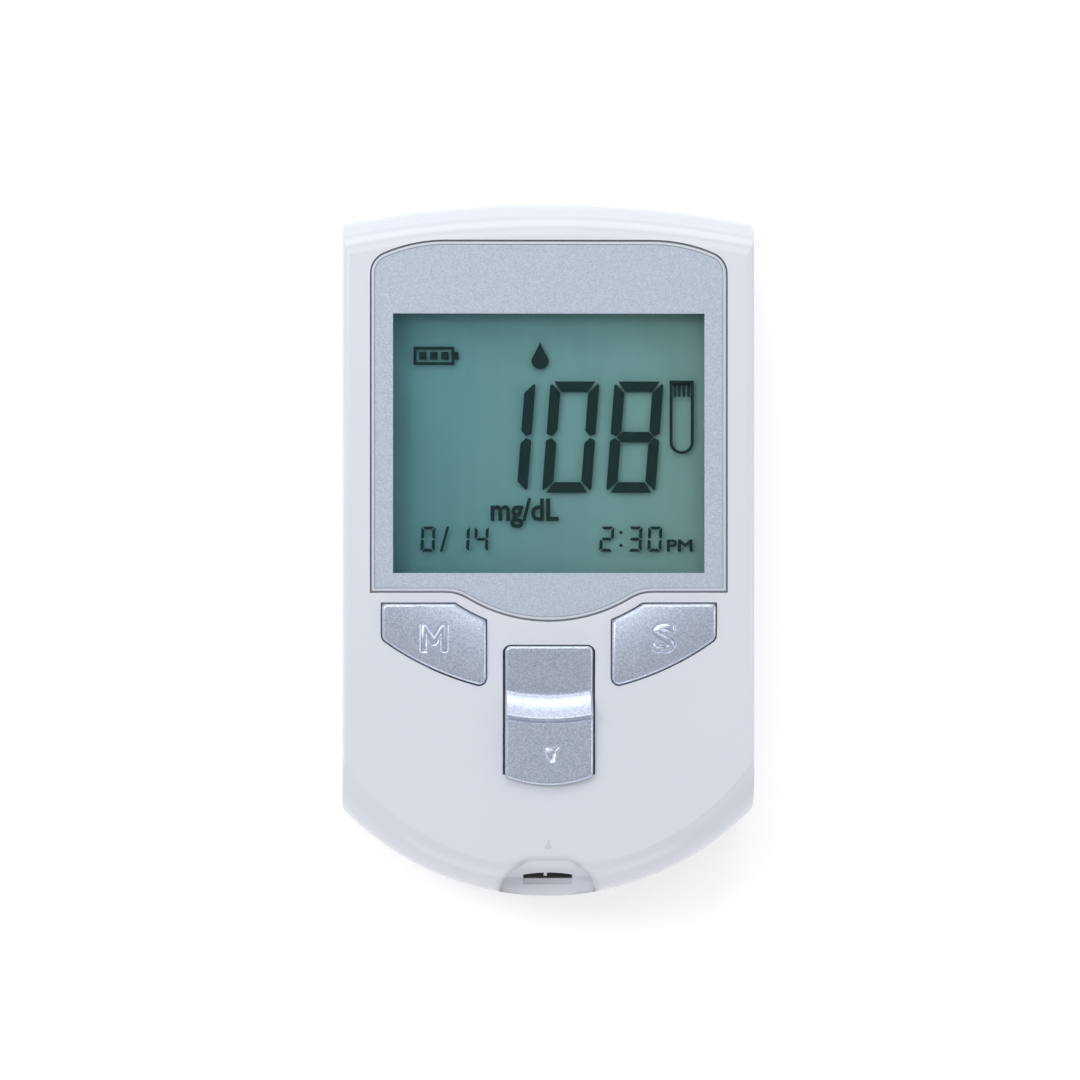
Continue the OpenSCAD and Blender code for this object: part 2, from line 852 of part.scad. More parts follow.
module rear_housing() {
    color(white)
    difference() {
        union() {
            difference() {
                union() {
                    intersection() {
                        outer_case();
                        layer(0, seam_z - seam_line);
                    }
                    intersection() {
                        case_form(seam_line, 0, 0);
                        layer(seam_z - seam_line - sink, seam_z);
                    }
                    intersection() {
                        case_form(wall / 2 + fit / 2, 0, 0);
                        layer(seam_z - sink, seam_z + lip_h);
                    }
                }
                cavity();
            }
            battery_bay();
            intersection() {
                case_form(wall / 2, 0, rear_t / 2);
                union() {
                    at(case_screw_at, rear_z)
                        cylinder(r = case_boss_r + sink, h = seam_z - rear_z);
                    at(post_at, rear_z)
                        cylinder(r = post_r, h = board_low - fit - rear_z, $fn = small_fn);
                }
            }
        }
        door_opening();
        tab_windows();
        translate([0, bay_y1 + grip_r * grip_share, rear_z - past])
            intersection() {
                cylinder(r = grip_r, h = past + rear_t / 2);
                translate([-grip_r, -grip_r * grip_share - past, 0])
                    cube([2 * grip_r, grip_r * (1 + grip_share), far]);
            }
        at(case_screw_at, 0)
            cylinder(r = case_head_r + 2 * fit, h = case_head_z + case_head_h);
        at(case_screw_at, 0)
            cylinder(r = case_screw_r + fit, h = far);
        at(foot_at, 0)
            cylinder(r = foot_r + fit, h = rear_z + foot_pocket);
        translate([buzzer_at[0], buzzer_at[1], 0]) {
            cylinder(r = sound_r, h = floor_z + past, $fn = small_fn);
            for (k = [0 : 5])
                rotate([0, 0, 60 * k])
                    translate([sound_ring_r, 0, 0])
                        cylinder(r = sound_r, h = floor_z + past, $fn = small_fn);
        }
    }
}

module battery_door() {
    color(white)
    difference() {
        union() {
            translate([0, cell_y, 0]) {
                slab_block(2 * door_half, bay_y1 - bay_y0 - 2 * door_gap, rear_z, rear_z + door_step);
                slab_block(2 * (door_half - door_ledge - door_gap), bay_y1 - bay_y0 - 2 * door_gap,
                           rear_z + door_step - sink, floor_z);
            }
            for (s = [-1, 1]) {
                translate([s * tab_x, bay_y0 + door_gap + tab_t / 2, 0])
                    slab_block(tab_w, tab_t, floor_z - sink, tab_z + tab_t);
                translate([s * tab_x, bay_y0 + (door_gap + tab_t - tab_l) / 2, 0])
                    slab_block(tab_w, tab_l + tab_t + door_gap, tab_z, tab_z + tab_t);
            }
            translate([0, bay_y1 - tongue_inset - tongue_t / 2, 0])
                slab_block(2 * tongue_half, tongue_t, floor_z - sink, floor_z + tongue_h);
        }
        for (k = [0 : 3])
            translate([0, bay_y1 - rib_first - rib_pitch * k, 0])
                slab_block(2 * (grip_r - 0.8 * k), rib_w, rear_z - past, rear_z + rib_deep);
    }
}

module display_lens() {
    color(clear)
    translate([0, 0, film_top])
        linear_extrude(lens_t)
            window_2d(0);
}

module bezel_film() {
    color(silver)
    translate([0, 0, ledge_z])
        linear_extrude(film_t)
            difference() {
                window_2d(0);
                view_2d(0);
            }
}

module display_frame() {
    color("#3c4248")
    difference() {
        translate([-frame_half, frame_y0, board_top])
            cube([2 * frame_half, frame_y1 - frame_y0, face_in - slide_fit - board_top]);
        translate([-glass_half - fit, glass_y0 - fit, board_top - past])
            cube([2 * (glass_half + fit), frame_y1 - frame_y0 - frame_wall * 1.7,
                  glass_top - board_top + past]);
        linear_extrude(far)
            view_2d(frame_rim);
        for (s = [-1, 1], y = [frame_y0, frame_y1])
            translate([s * frame_half, y, board_top - past])
                cylinder(r = frame_wall, h = far, $fn = small_fn);
    }
}

module lcd_front_glass() {
    color("#7fa79c")
    translate([-glass_half, glass_y0, glass_mid])
        cube([2 * glass_half, glass_y1 + contact_ledge - glass_y0, glass_t]);
}

module lcd_rear_glass() {
    color("#6f978e")
    translate([-glass_half, glass_y0, glass_low])
        cube([2 * glass_half, glass_y1 - glass_y0, glass_t]);
}

module lcd_connector() {
    color("#2f3337")
    translate([-glass_half + elastomer_inset, glass_y1 + (contact_ledge - elastomer_w) / 2, board_top])
        cube([2 * (glass_half - elastomer_inset), elastomer_w, glass_mid - board_top]);
}

module display_pad() {
    color("#4a4d50")
    translate([-glass_half + pad_w, glass_y0 + pad_w / 3, board_top])
        cube([2 * (glass_half - pad_w), pad_w, pad_t]);
}

module main_board() {
    color("#1f6b3c")
    translate([0, 0, board_low])
        linear_extrude(board_t)
            difference() {
                intersection() {
                    translate([-board_half, -far / 2])
                        square([2 * board_half, far]);
                    translate([0, end_cy])
                        board_end_2d();
                    translate([0, top_cy])
                        circle(board_top_r, $fn = wide_fn);
                }
                for (p = case_screw_at)
                    translate(p)
                        circle(case_boss_r + room);
                for (p = board_screw_at)
                    translate(p)
                        circle(board_screw_r + fit);
            }
}

module board_end_2d() {
    circle(board_end_r, $fn = wide_fn);
    translate([-board_half - past, 0])
        square([2 * (board_half + past), far / 2]);
}

module key(letter_side) {
    mirror([letter_side, 0, 0])
    color(silver) {
        intersection() {
            translate([0, 0, key_base + key_flange_t - sink])
                linear_extrude(face_z + key_proud + past - key_base - key_flange_t + sink)
                    key_2d(0);
            translate([key_mid[0] + key_crown_at[0], key_mid[1] + key_crown_at[1],
                       face_z + key_proud - key_crown_r])
                rotate([0, 90, key_crown_turn])
                    cylinder(r = key_crown_r, h = far, center = true, $fn = wide_fn);
        }
        translate([0, 0, key_base])
            linear_extrude(key_flange_t)
                key_2d(key_flange);
        translate([key_mid[0], key_mid[1], stem_low])
            cylinder(r = stem_r, h = key_base + sink - stem_low, $fn = small_fn);
    }
}

module s_button() {
    key(0);
}

module m_button() {
    key(1);
}

module key_switch(side) {
    translate([side * key_mid[0], key_mid[1], 0]) {
        color("#26282b")
            slab_block(switch_w, switch_w, board_top, board_top + switch_h);
        color(steel)
            translate([0, 0, board_top])
                cylinder(r = plunger_r, h = switch_h + plunger_h, $fn = small_fn);
        color(steel)
            for (s = [-1, 1], t = [-1, 1])
                translate([s * (switch_w / 2 + switch_leg_w * 0.7), t * switch_leg_at, 0])
                    slab_block(2 * switch_leg_w, switch_leg_w, board_top, board_top + lead_t);
    }
}

module m_switch() {
    key_switch(-1);
}

module s_switch() {
    key_switch(1);
}

// Side profile of the thumb slider, as distance from the centre of its crest arc and height
function hollow(k, steps) = let (t = k / steps, rise = crest_h - hollow_foot)
    [slider_arc_r - hollow_run * (1 - t),
     face_z + hollow_foot + rise * (hollow_bend * (1 - cos(90 * t)) + (1 - hollow_bend) * t)];

module slider_profile() {
    hollow_steps = 8;
    head = slider_arc_r - crest_at + slider_top - past;
    tail = slider_arc_r - crest_at + slider_tip + past;
    polygon(concat(
        [[head, face_in], [head, face_z + slider_head_h]],
        [for (k = [0 : hollow_steps]) hollow(k, hollow_steps)],
        [[slider_arc_r + crest_t * 0.6, face_z + crest_h - crest_ease],
         [slider_arc_r + crest_t, face_z + crest_h - crest_t],
         [tail, face_z + slider_tail_h], [tail, face_in]]));
}

module ejector_slider() {
    color(silver) {
        intersection() {
            translate([0, slider_cy, 0])
                rotate_extrude($fn = wide_fn)
                    slider_profile();
            translate([0, 0, carriage_top])
                linear_extrude(far)
                    slider_2d(slider_half, slider_top, slider_tip, tip_r, slider_corner_r);
            rotate([0, -90, 0])
                linear_extrude(far, center = true) {
                    translate([carriage_top, -plug_foot])
                        square([face_z + crest_h, plug_foot - slider_top - slider_edge_r]);
                    translate([face_z + slider_over, -slider_tip - past])
                        square([far, slider_tip - slider_top - slider_edge_r + past]);
                    translate([carriage_top, -slider_top - slider_edge_r - sink])
                        square([slider_edge_z - carriage_top, slider_edge_r + sink]);
                    translate([slider_edge_z, -slider_top - slider_edge_r])
                        circle(slider_edge_r, $fn = small_fn);
                }
        }
        for (y = peg_y)
            translate([0, y, carriage_low])
                cylinder(r = peg_r, h = carriage_t + sink, $fn = small_fn);
        translate([0, -(slider_top + plug_foot) / 2, 0])
            slab_block(slider_w - 2 * slider_plug_inset, plug_foot - slider_top - 2 * slider_plug_inset,
                       carriage_top, face_in + sink);
    }
}

module ejector_carriage() {
    color("#e4e6ea")
    difference() {
        union() {
            translate([0, (carriage_y0 + carriage_y1) / 2, 0])
                slab_block(2 * carriage_half, carriage_y1 - carriage_y0, carriage_low, carriage_top);
            translate([0, tooth_y + tooth_l / 2, 0])
                slab_block(2 * tooth_half, tooth_l, slot_floor + slide_fit, carriage_low + sink);
            translate([(carriage_half + spring_x + spring_d / 2) / 2 - sink / 2, ear_y - ear_t / 2, 0])
                slab_block(spring_x + spring_d / 2 - carriage_half + sink, ear_t,
                           carriage_low, carriage_top);
            translate([spring_x, ear_y - ear_t / 2, 0])
                slab_block(spring_d, ear_t, spring_z - spring_d / 2, carriage_top);
        }
        for (y = peg_y)
            translate([0, y, carriage_low - past])
                cylinder(r = peg_r + seat_fit, h = carriage_t + 2 * past, $fn = small_fn);
    }
}

// One unbroken tube along a helix, lying along Y
function coil_point(t, r, l, turns) = [r * cos(360 * turns * t), l * t, r * sin(360 * turns * t)];

module coil(r, wire_r, l, turns, grow) {
    per_turn = 8;
    sides = 6;
    rings = turns * per_turn;
    points = [for (k = [0 : rings], a = [0 : sides - 1])
        let (t = k / rings, c = coil_point(t, r + grow * t, l, turns),
             out = [cos(360 * turns * t), 0, sin(360 * turns * t)], v = 360 * a / sides)
        c + wire_r * (cos(v) * out + sin(v) * [0, 1, 0])];
    skin = [for (k = [0 : rings - 1], a = [0 : sides - 1], half = [0, 1])
        let (b = (a + 1) % sides, p = k * sides, q = p + sides)
        half == 0 ? [p + a, q + a, q + b] : [p + a, q + b, p + b]];
    low_cap = [for (a = [1 : sides - 2]) [0, a, a + 1]];
    high_cap = [for (a = [1 : sides - 2]) [rings * sides, rings * sides + a + 1, rings * sides + a]];
    polyhedron(points, concat(skin, low_cap, high_cap), convexity = 6);
}

module ejector_spring() {
    color(steel)
    translate([spring_x, spring_y0 + spring_wire / 2 + seat_fit, spring_z])
        coil(spring_d / 2 - spring_wire / 2, spring_wire / 2, spring_l - spring_wire - 2 * seat_fit,
             spring_turns, 0);
}

module strip_connector() {
    color("#2b2a2e")
    difference() {
        union() {
            translate([0, (connector_y0 + connector_y1) / 2, 0])
                slab_block(2 * connector_half, connector_l, board_top, connector_top);
            translate([0, (well_y + fit + connector_y0 + sink) / 2, 0])
                slab_block(slot_w - 2 * fit, connector_y0 + sink - well_y - fit,
                           slot_floor - nose_t, slot_floor);
        }
        translate([0, connector_y0 + (tooth_y + tooth_l - connector_y0) / 2 - past / 2, 0])
            slab_block(slot_w, tooth_y + tooth_l - connector_y0 + past, slot_floor, slot_floor + strip_t);
        translate([0, connector_y1, 0])
            slab_block(2 * (tooth_half + tooth_room), 2 * (slider_travel + tooth_l + tooth_over),
                       slot_floor, far);
        for (x = blade_x)
            translate([x, connector_y1, 0])
                slab_block(blade_w + 2 * fit, 2 * (connector_l - blade_inset), slot_floor + strip_t - sink,
                           slot_floor + strip_t + blade_t + 2 * fit);
    }
}

module strip_contacts() {
    blade_z = slot_floor + strip_t + fit;
    blade_l = connector_l - blade_inset - 2 * room;
    tail_y = connector_y1 + fit + 2 * blade_t;
    tail_foot = 1.2;
    color("#d8b45a")
    for (x = blade_x)
        translate([x, 0, 0]) {
            translate([0, tail_y - blade_l / 2, 0])
                slab_block(blade_w, blade_l, blade_z, blade_z + blade_t);
            translate([0, tail_y - blade_t, 0])
                slab_block(blade_w, 2 * blade_t, board_top, blade_z + blade_t);
            translate([0, tail_y + tail_foot / 2 - sink, 0])
                slab_block(blade_w, tail_foot, board_top, board_top + blade_t);
        }
}

// Flat package with leads along two or four sides, hung under the board
module chip(w, l, h, leads, pitch, four_sides) {
    slab_block(w, l, board_low - h, board_low - chip_gap);
    for (turn = four_sides ? [0, 90] : [0], s = [-1, 1], k = [0 : leads - 1])
        rotate([0, 0, turn])
            translate([(k - (leads - 1) / 2) * pitch, s * (l / 2 + lead_l * 0.4), 0]) {
                slab_block(pitch * lead_share, lead_l, board_low - lead_t, board_low);
                translate([0, -s * lead_l / 3, 0])
                    slab_block(pitch * lead_share, lead_l / 3, board_low - h / 2 - chip_gap, board_low);
            }
}

module microcontroller() {
    color("#26282b")
    translate(micro_at)
        chip(micro_w, micro_w, chip_h, micro_leads, micro_pitch, true);
}

module memory_chip() {
    color("#26282b")
    translate(memory_at)
        chip(memory_w, memory_l, chip_h, memory_leads, memory_pitch, false);
}

module crystal() {
    color(steel)
    translate([crystal_at[0], crystal_at[1], board_low - crystal_r - chip_gap])
        rotate([0, 90, 0]) {
            cylinder(r = crystal_r, h = crystal_l, $fn = small_fn);
            for (s = [-1, 1])
                translate([0, s * crystal_r * 0.35, crystal_l - sink])
                    cylinder(r = crystal_wire_r, h = crystal_wire_l, $fn = small_fn);
        }
}

module chip_capacitors() {
    color("#b8a27e")
    for (k = [0 : 5])
        translate(capacitor_at + [k * capacitor_pitch, 0])
            slab_block(capacitor_w, 2 * capacitor_w, board_low - capacitor_w, board_low);
}

module buzzer() {
    color("#26282b")
    translate([buzzer_at[0], buzzer_at[1], board_low - buzzer_h])
        difference() {
            cylinder(r = buzzer_r, h = buzzer_h);
            translate([0, 0, -past])
                cylinder(r = buzzer_hole_r, h = past + buzzer_wall, $fn = small_fn);
        }
}

// A battery with its terminal toward the side s
module battery(s, y) {
    translate([s * (bay_half - contact_t - cell_l / 2), y, cell_z])
        rotate([0, s * 90, 0])
            translate([0, 0, -cell_l / 2]) {
                color("#3f5f8a")
                    cylinder(r = cell_r, h = cell_l - nub_l);
                color(steel)
                    cylinder(r = nub_r, h = cell_l, $fn = small_fn);
            }
}

module upper_battery() {
    battery(1, cell_y + cell_pitch / 2);
}

module lower_battery() {
    battery(-1, cell_y - cell_pitch / 2);
}

// Contact plate at the side s, and the coil that presses on a battery's flat end
module contact_plate(s, y, l) {
    translate([s * (bay_half - contact_t / 2), y, 0])
        slab_block(contact_t, l, cell_z - contact_w / 2, cell_z + contact_w / 2);
}

module contact_coil(s, y) {
    translate([s * (bay_half - contact_t - cell_coil_wire / 2), y, cell_z]) {
        rotate([0, 0, s * 90])
            coil(cell_coil_r, cell_coil_wire / 2, cell_spring - cell_coil_wire - seat_fit,
                 cell_coil_turns, -cell_coil_taper);
        rotate([0, -s * 90, 0])
            translate([0, 0, -(cell_coil_wire + sink) / 2])
                cylinder(r = cell_coil_r + sink, h = sink, $fn = small_fn);
    }
}

module bridge_contact() {
    color(steel) {
        contact_plate(-1, cell_y, cell_pitch + contact_w);
        contact_coil(-1, cell_y + cell_pitch / 2);
    }
}

module positive_contact() {
    color(steel)
        contact_plate(1, cell_y + cell_pitch / 2, contact_w);
}

module negative_contact() {
    color(steel) {
        contact_plate(1, cell_y - cell_pitch / 2, contact_w);
        contact_coil(1, cell_y - cell_pitch / 2);
    }
}

// Screw standing on its head at z
module screw(r, head_r, head_h, l) {
    difference() {
        union() {
            cylinder(r = head_r, h = head_h);
            cylinder(r = r, h = head_h + l);
        }
        for (turn = [0, 90])
            rotate([0, 0, turn])
                slab_block(head_r * 1.2, head_r * 0.28, -past, head_h * 0.5);
    }
}

module case_screws() {
    color(steel)
    at(case_screw_at, case_head_z)
        screw(case_screw_r, case_head_r, case_head_h, case_screw_l);
}

module board_screws() {
    color(steel)
    at(board_screw_at, board_low - board_head_h)
        screw(board_screw_r, board_head_r, board_head_h, board_t + board_screw_bite);
}

module rubber_feet() {
    color("#d5d8dc")
    at(foot_at, 0)
        cylinder(r = foot_r, h = rear_z + foot_pocket);
}

front_housing();
rear_housing();
battery_door();
display_lens();
bezel_film();
display_frame();
lcd_front_glass();
lcd_rear_glass();
lcd_connector();
display_pad();
main_board();
m_button();
s_button();
m_switch();
s_switch();
ejector_slider();
ejector_carriage();
ejector_spring();
strip_connector();
strip_contacts();
microcontroller();
memory_chip();
crystal();
chip_capacitors();
buzzer();
upper_battery();
lower_battery();
bridge_contact();
positive_contact();
negative_contact();
case_screws();
board_screws();
rubber_feet();
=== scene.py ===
# %% [markdown]
# # A hand-held blood test meter
# The meter lies on its back under soft studio light, and the camera looks almost straight down on it.
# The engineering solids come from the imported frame. This file gives them their finishes, adds the
# small visible details, and replaces the pieces whose edges have to look moulded.

# %% Load the frame
import math

import bmesh
import bpy
from mathutils import Euler, Matrix, Vector
from mathutils.bvhtree import BVHTree


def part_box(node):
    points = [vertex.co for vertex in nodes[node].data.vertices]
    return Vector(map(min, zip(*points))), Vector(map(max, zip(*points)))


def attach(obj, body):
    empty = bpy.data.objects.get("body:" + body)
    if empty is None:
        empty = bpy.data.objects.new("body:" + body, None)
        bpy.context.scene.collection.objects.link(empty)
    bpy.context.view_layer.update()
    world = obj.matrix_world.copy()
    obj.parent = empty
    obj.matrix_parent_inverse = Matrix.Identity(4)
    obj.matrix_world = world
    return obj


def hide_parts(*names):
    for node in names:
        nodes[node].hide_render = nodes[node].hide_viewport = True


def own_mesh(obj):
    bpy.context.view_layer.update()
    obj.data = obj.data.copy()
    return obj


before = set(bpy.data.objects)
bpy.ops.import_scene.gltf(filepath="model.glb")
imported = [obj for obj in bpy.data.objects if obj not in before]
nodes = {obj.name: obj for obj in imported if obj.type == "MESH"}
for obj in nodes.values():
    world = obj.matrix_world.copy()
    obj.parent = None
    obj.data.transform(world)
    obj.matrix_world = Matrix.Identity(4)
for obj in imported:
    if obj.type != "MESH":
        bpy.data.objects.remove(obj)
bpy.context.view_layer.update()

# %% [markdown]
# ## Units and the levels of the meter
# Blender works in metres here, and the meter is easier to think of in millimetres, so one constant
# turns one into the other. The level of the face is given, and the others are read from the solids,
# so a detail always sits on what carries it.

# %% Levels
MM = 0.001
FACE_Z = 22.0 * MM
GLASS_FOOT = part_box("lcd_front_glass")[0].z
LENS_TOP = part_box("display_lens")[1].z
print("underside of the front glass and top of the lens in mm:",
      round(GLASS_FOOT / MM, 3), round(LENS_TOP / MM, 3))

# %% [markdown]
# ## The camera
# The picture was taken with a long lens from about a metre away, a little to the left of straight
# above. At the height of the face the frame is 151.9 mm wide, which gives the focal length, and the
# point that the lens looks at is the middle of the frame.

# %% Camera
PX_PER_MM = 7.112
VIEW_WIDTH = 1080 / PX_PER_MM * MM
CAMERA_DISTANCE = 1.0
CAMERA_TURN = math.radians(-2.0)
LOOK_AT = Vector((-1.265 * MM, 1.441 * MM, FACE_Z))

camera_data = bpy.data.cameras.new("camera")
camera_data.lens = camera_data.sensor_width * CAMERA_DISTANCE / VIEW_WIDTH
camera_data.clip_start, camera_data.clip_end = 0.05, 20
camera = bpy.data.objects.new("camera", camera_data)
bpy.context.scene.collection.objects.link(camera)
camera.rotation_euler = Euler((0, CAMERA_TURN, 0))
camera.location = LOOK_AT + camera.rotation_euler.to_matrix() @ Vector((0, 0, CAMERA_DISTANCE))
bpy.context.scene.camera = camera
print("focal length in mm:", round(camera_data.lens, 1))

# %% [markdown]
# ## Light
# A pale product is easy to wash out, so the room stays dim and softboxes give the rest. One stands
# beyond the top end of the meter and lights every slope that faces it. A smaller one on the left
# throws the shadow of the display's frame, one on the right opens the shade there, and a low one at
# the near end lights the lower rims. A narrow one almost overhead is what the crowned keys mirror,
# and a low strip beyond the top end only reaches the slopes that face it.

# %% Softboxes
LAMP_DISTANCE = 0.8


def soft_box(name, azimuth, from_vertical, width, height, power):
    """A flat lamp that looks at the meter. Azimuth 0 is the top end's side, 90 the left.
    Angles are in degrees, the lamp's sides in metres and its power in watts."""
    lamp_data = bpy.data.lights.new(name, "AREA")
    lamp_data.shape = "RECTANGLE"
    lamp_data.size, lamp_data.size_y = width, height
    lamp_data.energy = power
    lamp = bpy.data.objects.new(name, lamp_data)
    bpy.context.scene.collection.objects.link(lamp)
    a, t = math.radians(azimuth), math.radians(from_vertical)
    way = Vector((-math.sin(a) * math.sin(t), math.cos(a) * math.sin(t), math.cos(t)))
    lamp.location = way * LAMP_DISTANCE
    lamp.rotation_mode = "QUATERNION"
    lamp.rotation_quaternion = way.to_track_quat("Z", "Y")
    return lamp


lamps = [soft_box("top_softbox", 5, 48, 0.6, 0.34, 1.5), soft_box("left_softbox", 68, 40, 0.24, 0.34, 1.6),
         soft_box("right_softbox", -90, 62, 0.3, 0.5, 0.6), soft_box("near_softbox", 180, 74, 0.9, 0.3, 0.85),
         soft_box("crown_softbox", 0, 16, 0.5, 0.26, 0.6), soft_box("end_softbox", 0, 80, 0.6, 0.16, 0.3)]
print("softboxes:", len(lamps), "watts in all:", round(sum(lamp.data.energy for lamp in lamps), 2))

# %% [markdown]
# ## The room
# Rounded edges mirror whatever is round about, so the room is bright near the horizon and dim
# overhead, where the camera hangs. Its strength follows the height of the direction that a ray takes.
# A ray that comes straight from the camera finds plain white.

# %% The room
ROOM_OVERHEAD, OVERHEAD_FROM = 0.40, 0.8
ROOM_HORIZON, HORIZON_TO = 0.85, 0.15
world = bpy.data.worlds.new("room")
world.use_nodes = True
bpy.context.scene.world = world
room = world.node_tree
room_light = room.nodes["Background"]
room_light.inputs["Color"].default_value = (1, 1, 1, 1)
way = room.nodes.new("ShaderNodeTexCoord")
height = room.nodes.new("ShaderNodeSeparateXYZ")
room.links.new(way.outputs["Generated"], height.inputs["Vector"])
glow = room.nodes.new("ShaderNodeMapRange")
glow.inputs["From Min"].default_value = HORIZON_TO
glow.inputs["From Max"].default_value = OVERHEAD_FROM
glow.inputs["To Min"].default_value = ROOM_HORIZON
glow.inputs["To Max"].default_value = ROOM_OVERHEAD
room.links.new(height.outputs["Z"], glow.inputs["Value"])
seen = room.nodes.new("ShaderNodeLightPath")
strength = room.nodes.new("ShaderNodeMix")
strength.inputs["B"].default_value = 1.0
room.links.new(seen.outputs["Is Camera Ray"], strength.inputs["Factor"])
room.links.new(glow.outputs["Result"], strength.inputs["A"])
room.links.new(strength.outputs["Result"], room_light.inputs["Strength"])
bpy.context.scene.view_settings.view_transform = "Standard"
print("room light at the horizon and overhead:", ROOM_HORIZON, ROOM_OVERHEAD)

# %% [markdown]
# ## The table
# The meter lies on a plain white sweep. The sheet's own colour is a little under white, and it adds
# some light of its own only where the camera, a reflection or a clear piece looks at it. So it shows
# as white, keeps the soft shadow under the near end and throws no extra light on the meter.

# %% Helpers for node materials


def new_material(name):
    """A material, its node tree, its shader and the place on the piece that patterns start from."""
    material = bpy.data.materials.new(name)
    material.use_nodes = True
    tree = material.node_tree
    shader = tree.nodes["Principled BSDF"]
    place = tree.nodes.new("ShaderNodeTexCoord")
    return material, tree, shader, place.outputs["Object"]


def noise(tree, place, size_mm, detail=2.0):
    """Noise whose lumps are about that many millimetres across."""
    node = tree.nodes.new("ShaderNodeTexNoise")
    node.inputs["Scale"].default_value = 1 / (size_mm * MM)
    node.inputs["Detail"].default_value = detail
    tree.links.new(place, node.inputs["Vector"])
    return node.outputs["Fac"]


def cells(tree, place, size_mm):
    """A random number for each small cell, as for the flakes of a metallic paint."""
    node = tree.nodes.new("ShaderNodeTexVoronoi")
    node.inputs["Scale"].default_value = 1 / (size_mm * MM)
    tree.links.new(place, node.inputs["Vector"])
    split = tree.nodes.new("ShaderNodeSeparateColor")
    tree.links.new(node.outputs["Color"], split.inputs["Color"])
    return split.outputs["Red"]


def ramp(tree, value, low, high, from_low=0.0, from_high=1.0):
    """Turn a value that runs between two limits into one that runs from low to high."""
    node = tree.nodes.new("ShaderNodeMapRange")
    node.inputs["From Min"].default_value = from_low
    node.inputs["From Max"].default_value = from_high
    node.inputs["To Min"].default_value = low
    node.inputs["To Max"].default_value = high
    tree.links.new(value, node.inputs["Value"])
    return node.outputs["Result"]


def two_colours(tree, value, first, second):
    """The first colour where the value is 0, the second where it is 1."""
    node = tree.nodes.new("ShaderNodeMix")
    node.data_type = "RGBA"
    node.inputs["A"].default_value = (*first, 1)
    node.inputs["B"].default_value = (*second, 1)
    tree.links.new(value, node.inputs["Factor"])
    return node.outputs["Result"]


def bump(tree, shader, height, depth_mm, strength=1.0):
    """Let a value from 0 to 1 show as relief of that many millimetres."""
    node = tree.nodes.new("ShaderNodeBump")
    node.inputs["Strength"].default_value = strength
    node.inputs["Distance"].default_value = depth_mm * MM
    tree.links.new(height, node.inputs["Height"])
    tree.links.new(node.outputs["Normal"], shader.inputs["Normal"])
    return node


def from_srgb(r, g, b):
    """A colour as read off a picture, turned into light values."""
    return tuple((c / 255 / 12.92) if c < 10.3 else (((c / 255) + 0.055) / 1.055) ** 2.4 for c in (r, g, b))


# %% The table
TABLE_HALF = 3.0
TABLE_GLOW = 0.335
mesh = bpy.data.meshes.new("table")
bm = bmesh.new()
bmesh.ops.create_grid(bm, x_segments=1, y_segments=1, size=TABLE_HALF)
bm.to_mesh(mesh)
bm.free()
table = bpy.data.objects.new("table", mesh)
bpy.context.scene.collection.objects.link(table)

material, tree, shader, place = new_material("white_sweep")
tree.links.new(two_colours(tree, noise(tree, place, 60), (0.88, 0.88, 0.885), (0.9, 0.9, 0.9)),
               shader.inputs["Base Color"])
shader.inputs["Roughness"].default_value = 0.9
shader.inputs["Specular IOR Level"].default_value = 0.1
shader.inputs["Emission Color"].default_value = (1, 1, 1, 1)
seen = tree.nodes.new("ShaderNodeLightPath")
looked_at = seen.outputs["Is Camera Ray"]
for kind in ("Is Glossy Ray", "Is Transmission Ray"):
    either = tree.nodes.new("ShaderNodeMath")
    either.operation = "MAXIMUM"
    tree.links.new(looked_at, either.inputs[0])
    tree.links.new(seen.outputs[kind], either.inputs[1])
    looked_at = either.outputs[0]
tree.links.new(ramp(tree, looked_at, 0.0, TABLE_GLOW), shader.inputs["Emission Strength"])
table.data.materials.append(material)
print("table side in m:", 2 * TABLE_HALF)

# %% [markdown]
# ## Finishes
# The shell is glossy white plastic with a cool tint. Gloss plastic is never perfectly even, so a
# slow noise moves its colour by a hair and a fine one its roughness.

# %% White plastic
white_plastic, tree, shader, place = new_material("white_gloss_plastic")
tree.links.new(two_colours(tree, noise(tree, place, 14), from_srgb(216, 220, 230), from_srgb(219, 223, 233)),
               shader.inputs["Base Color"])
tree.links.new(ramp(tree, noise(tree, place, 1.5, 4), 0.16, 0.24), shader.inputs["Roughness"])
shader.inputs["Coat Weight"].default_value = 0.3
shader.inputs["Coat Roughness"].default_value = 0.08
fine = bump(tree, shader, noise(tree, place, 4, 1), 0.004, 0.3)
print("shell finish:", white_plastic.name)

# %% [markdown]
# ## The soft rim of the scoop
# The scoop over the strip port melts into the shell round it. A Bevel node blurs the way that light
# meets an edge without moving it. How far from the scoop's middle a point lies sets the blur's reach:
# about two millimetres near the rim, and less than a tenth everywhere else.

# %% The soft rim of the scoop
SCOOP_MIDDLE = (0, -46.07 * MM, 16.85 * MM)
SOFT_FROM, SOFT_TO = (4.0 * MM, 4.8 * MM), (8.5 * MM, 10.5 * MM)
EDGE_SOFT, RIM_SOFT = 0.09 * MM, 2.0 * MM
apart = tree.nodes.new("ShaderNodeVectorMath")
apart.operation = "DISTANCE"
apart.inputs[1].default_value = SCOOP_MIDDLE
tree.links.new(place, apart.inputs[0])
product = tree.nodes.new("ShaderNodeMath")
product.operation = "MULTIPLY"
tree.links.new(ramp(tree, apart.outputs["Value"], 0, 1, *SOFT_FROM), product.inputs[0])
tree.links.new(ramp(tree, apart.outputs["Value"], 1, 0, *SOFT_TO), product.inputs[1])
soft_edge = tree.nodes.new("ShaderNodeBevel")
soft_edge.samples = 8
tree.links.new(ramp(tree, product.outputs[0], EDGE_SOFT, RIM_SOFT), soft_edge.inputs["Radius"])
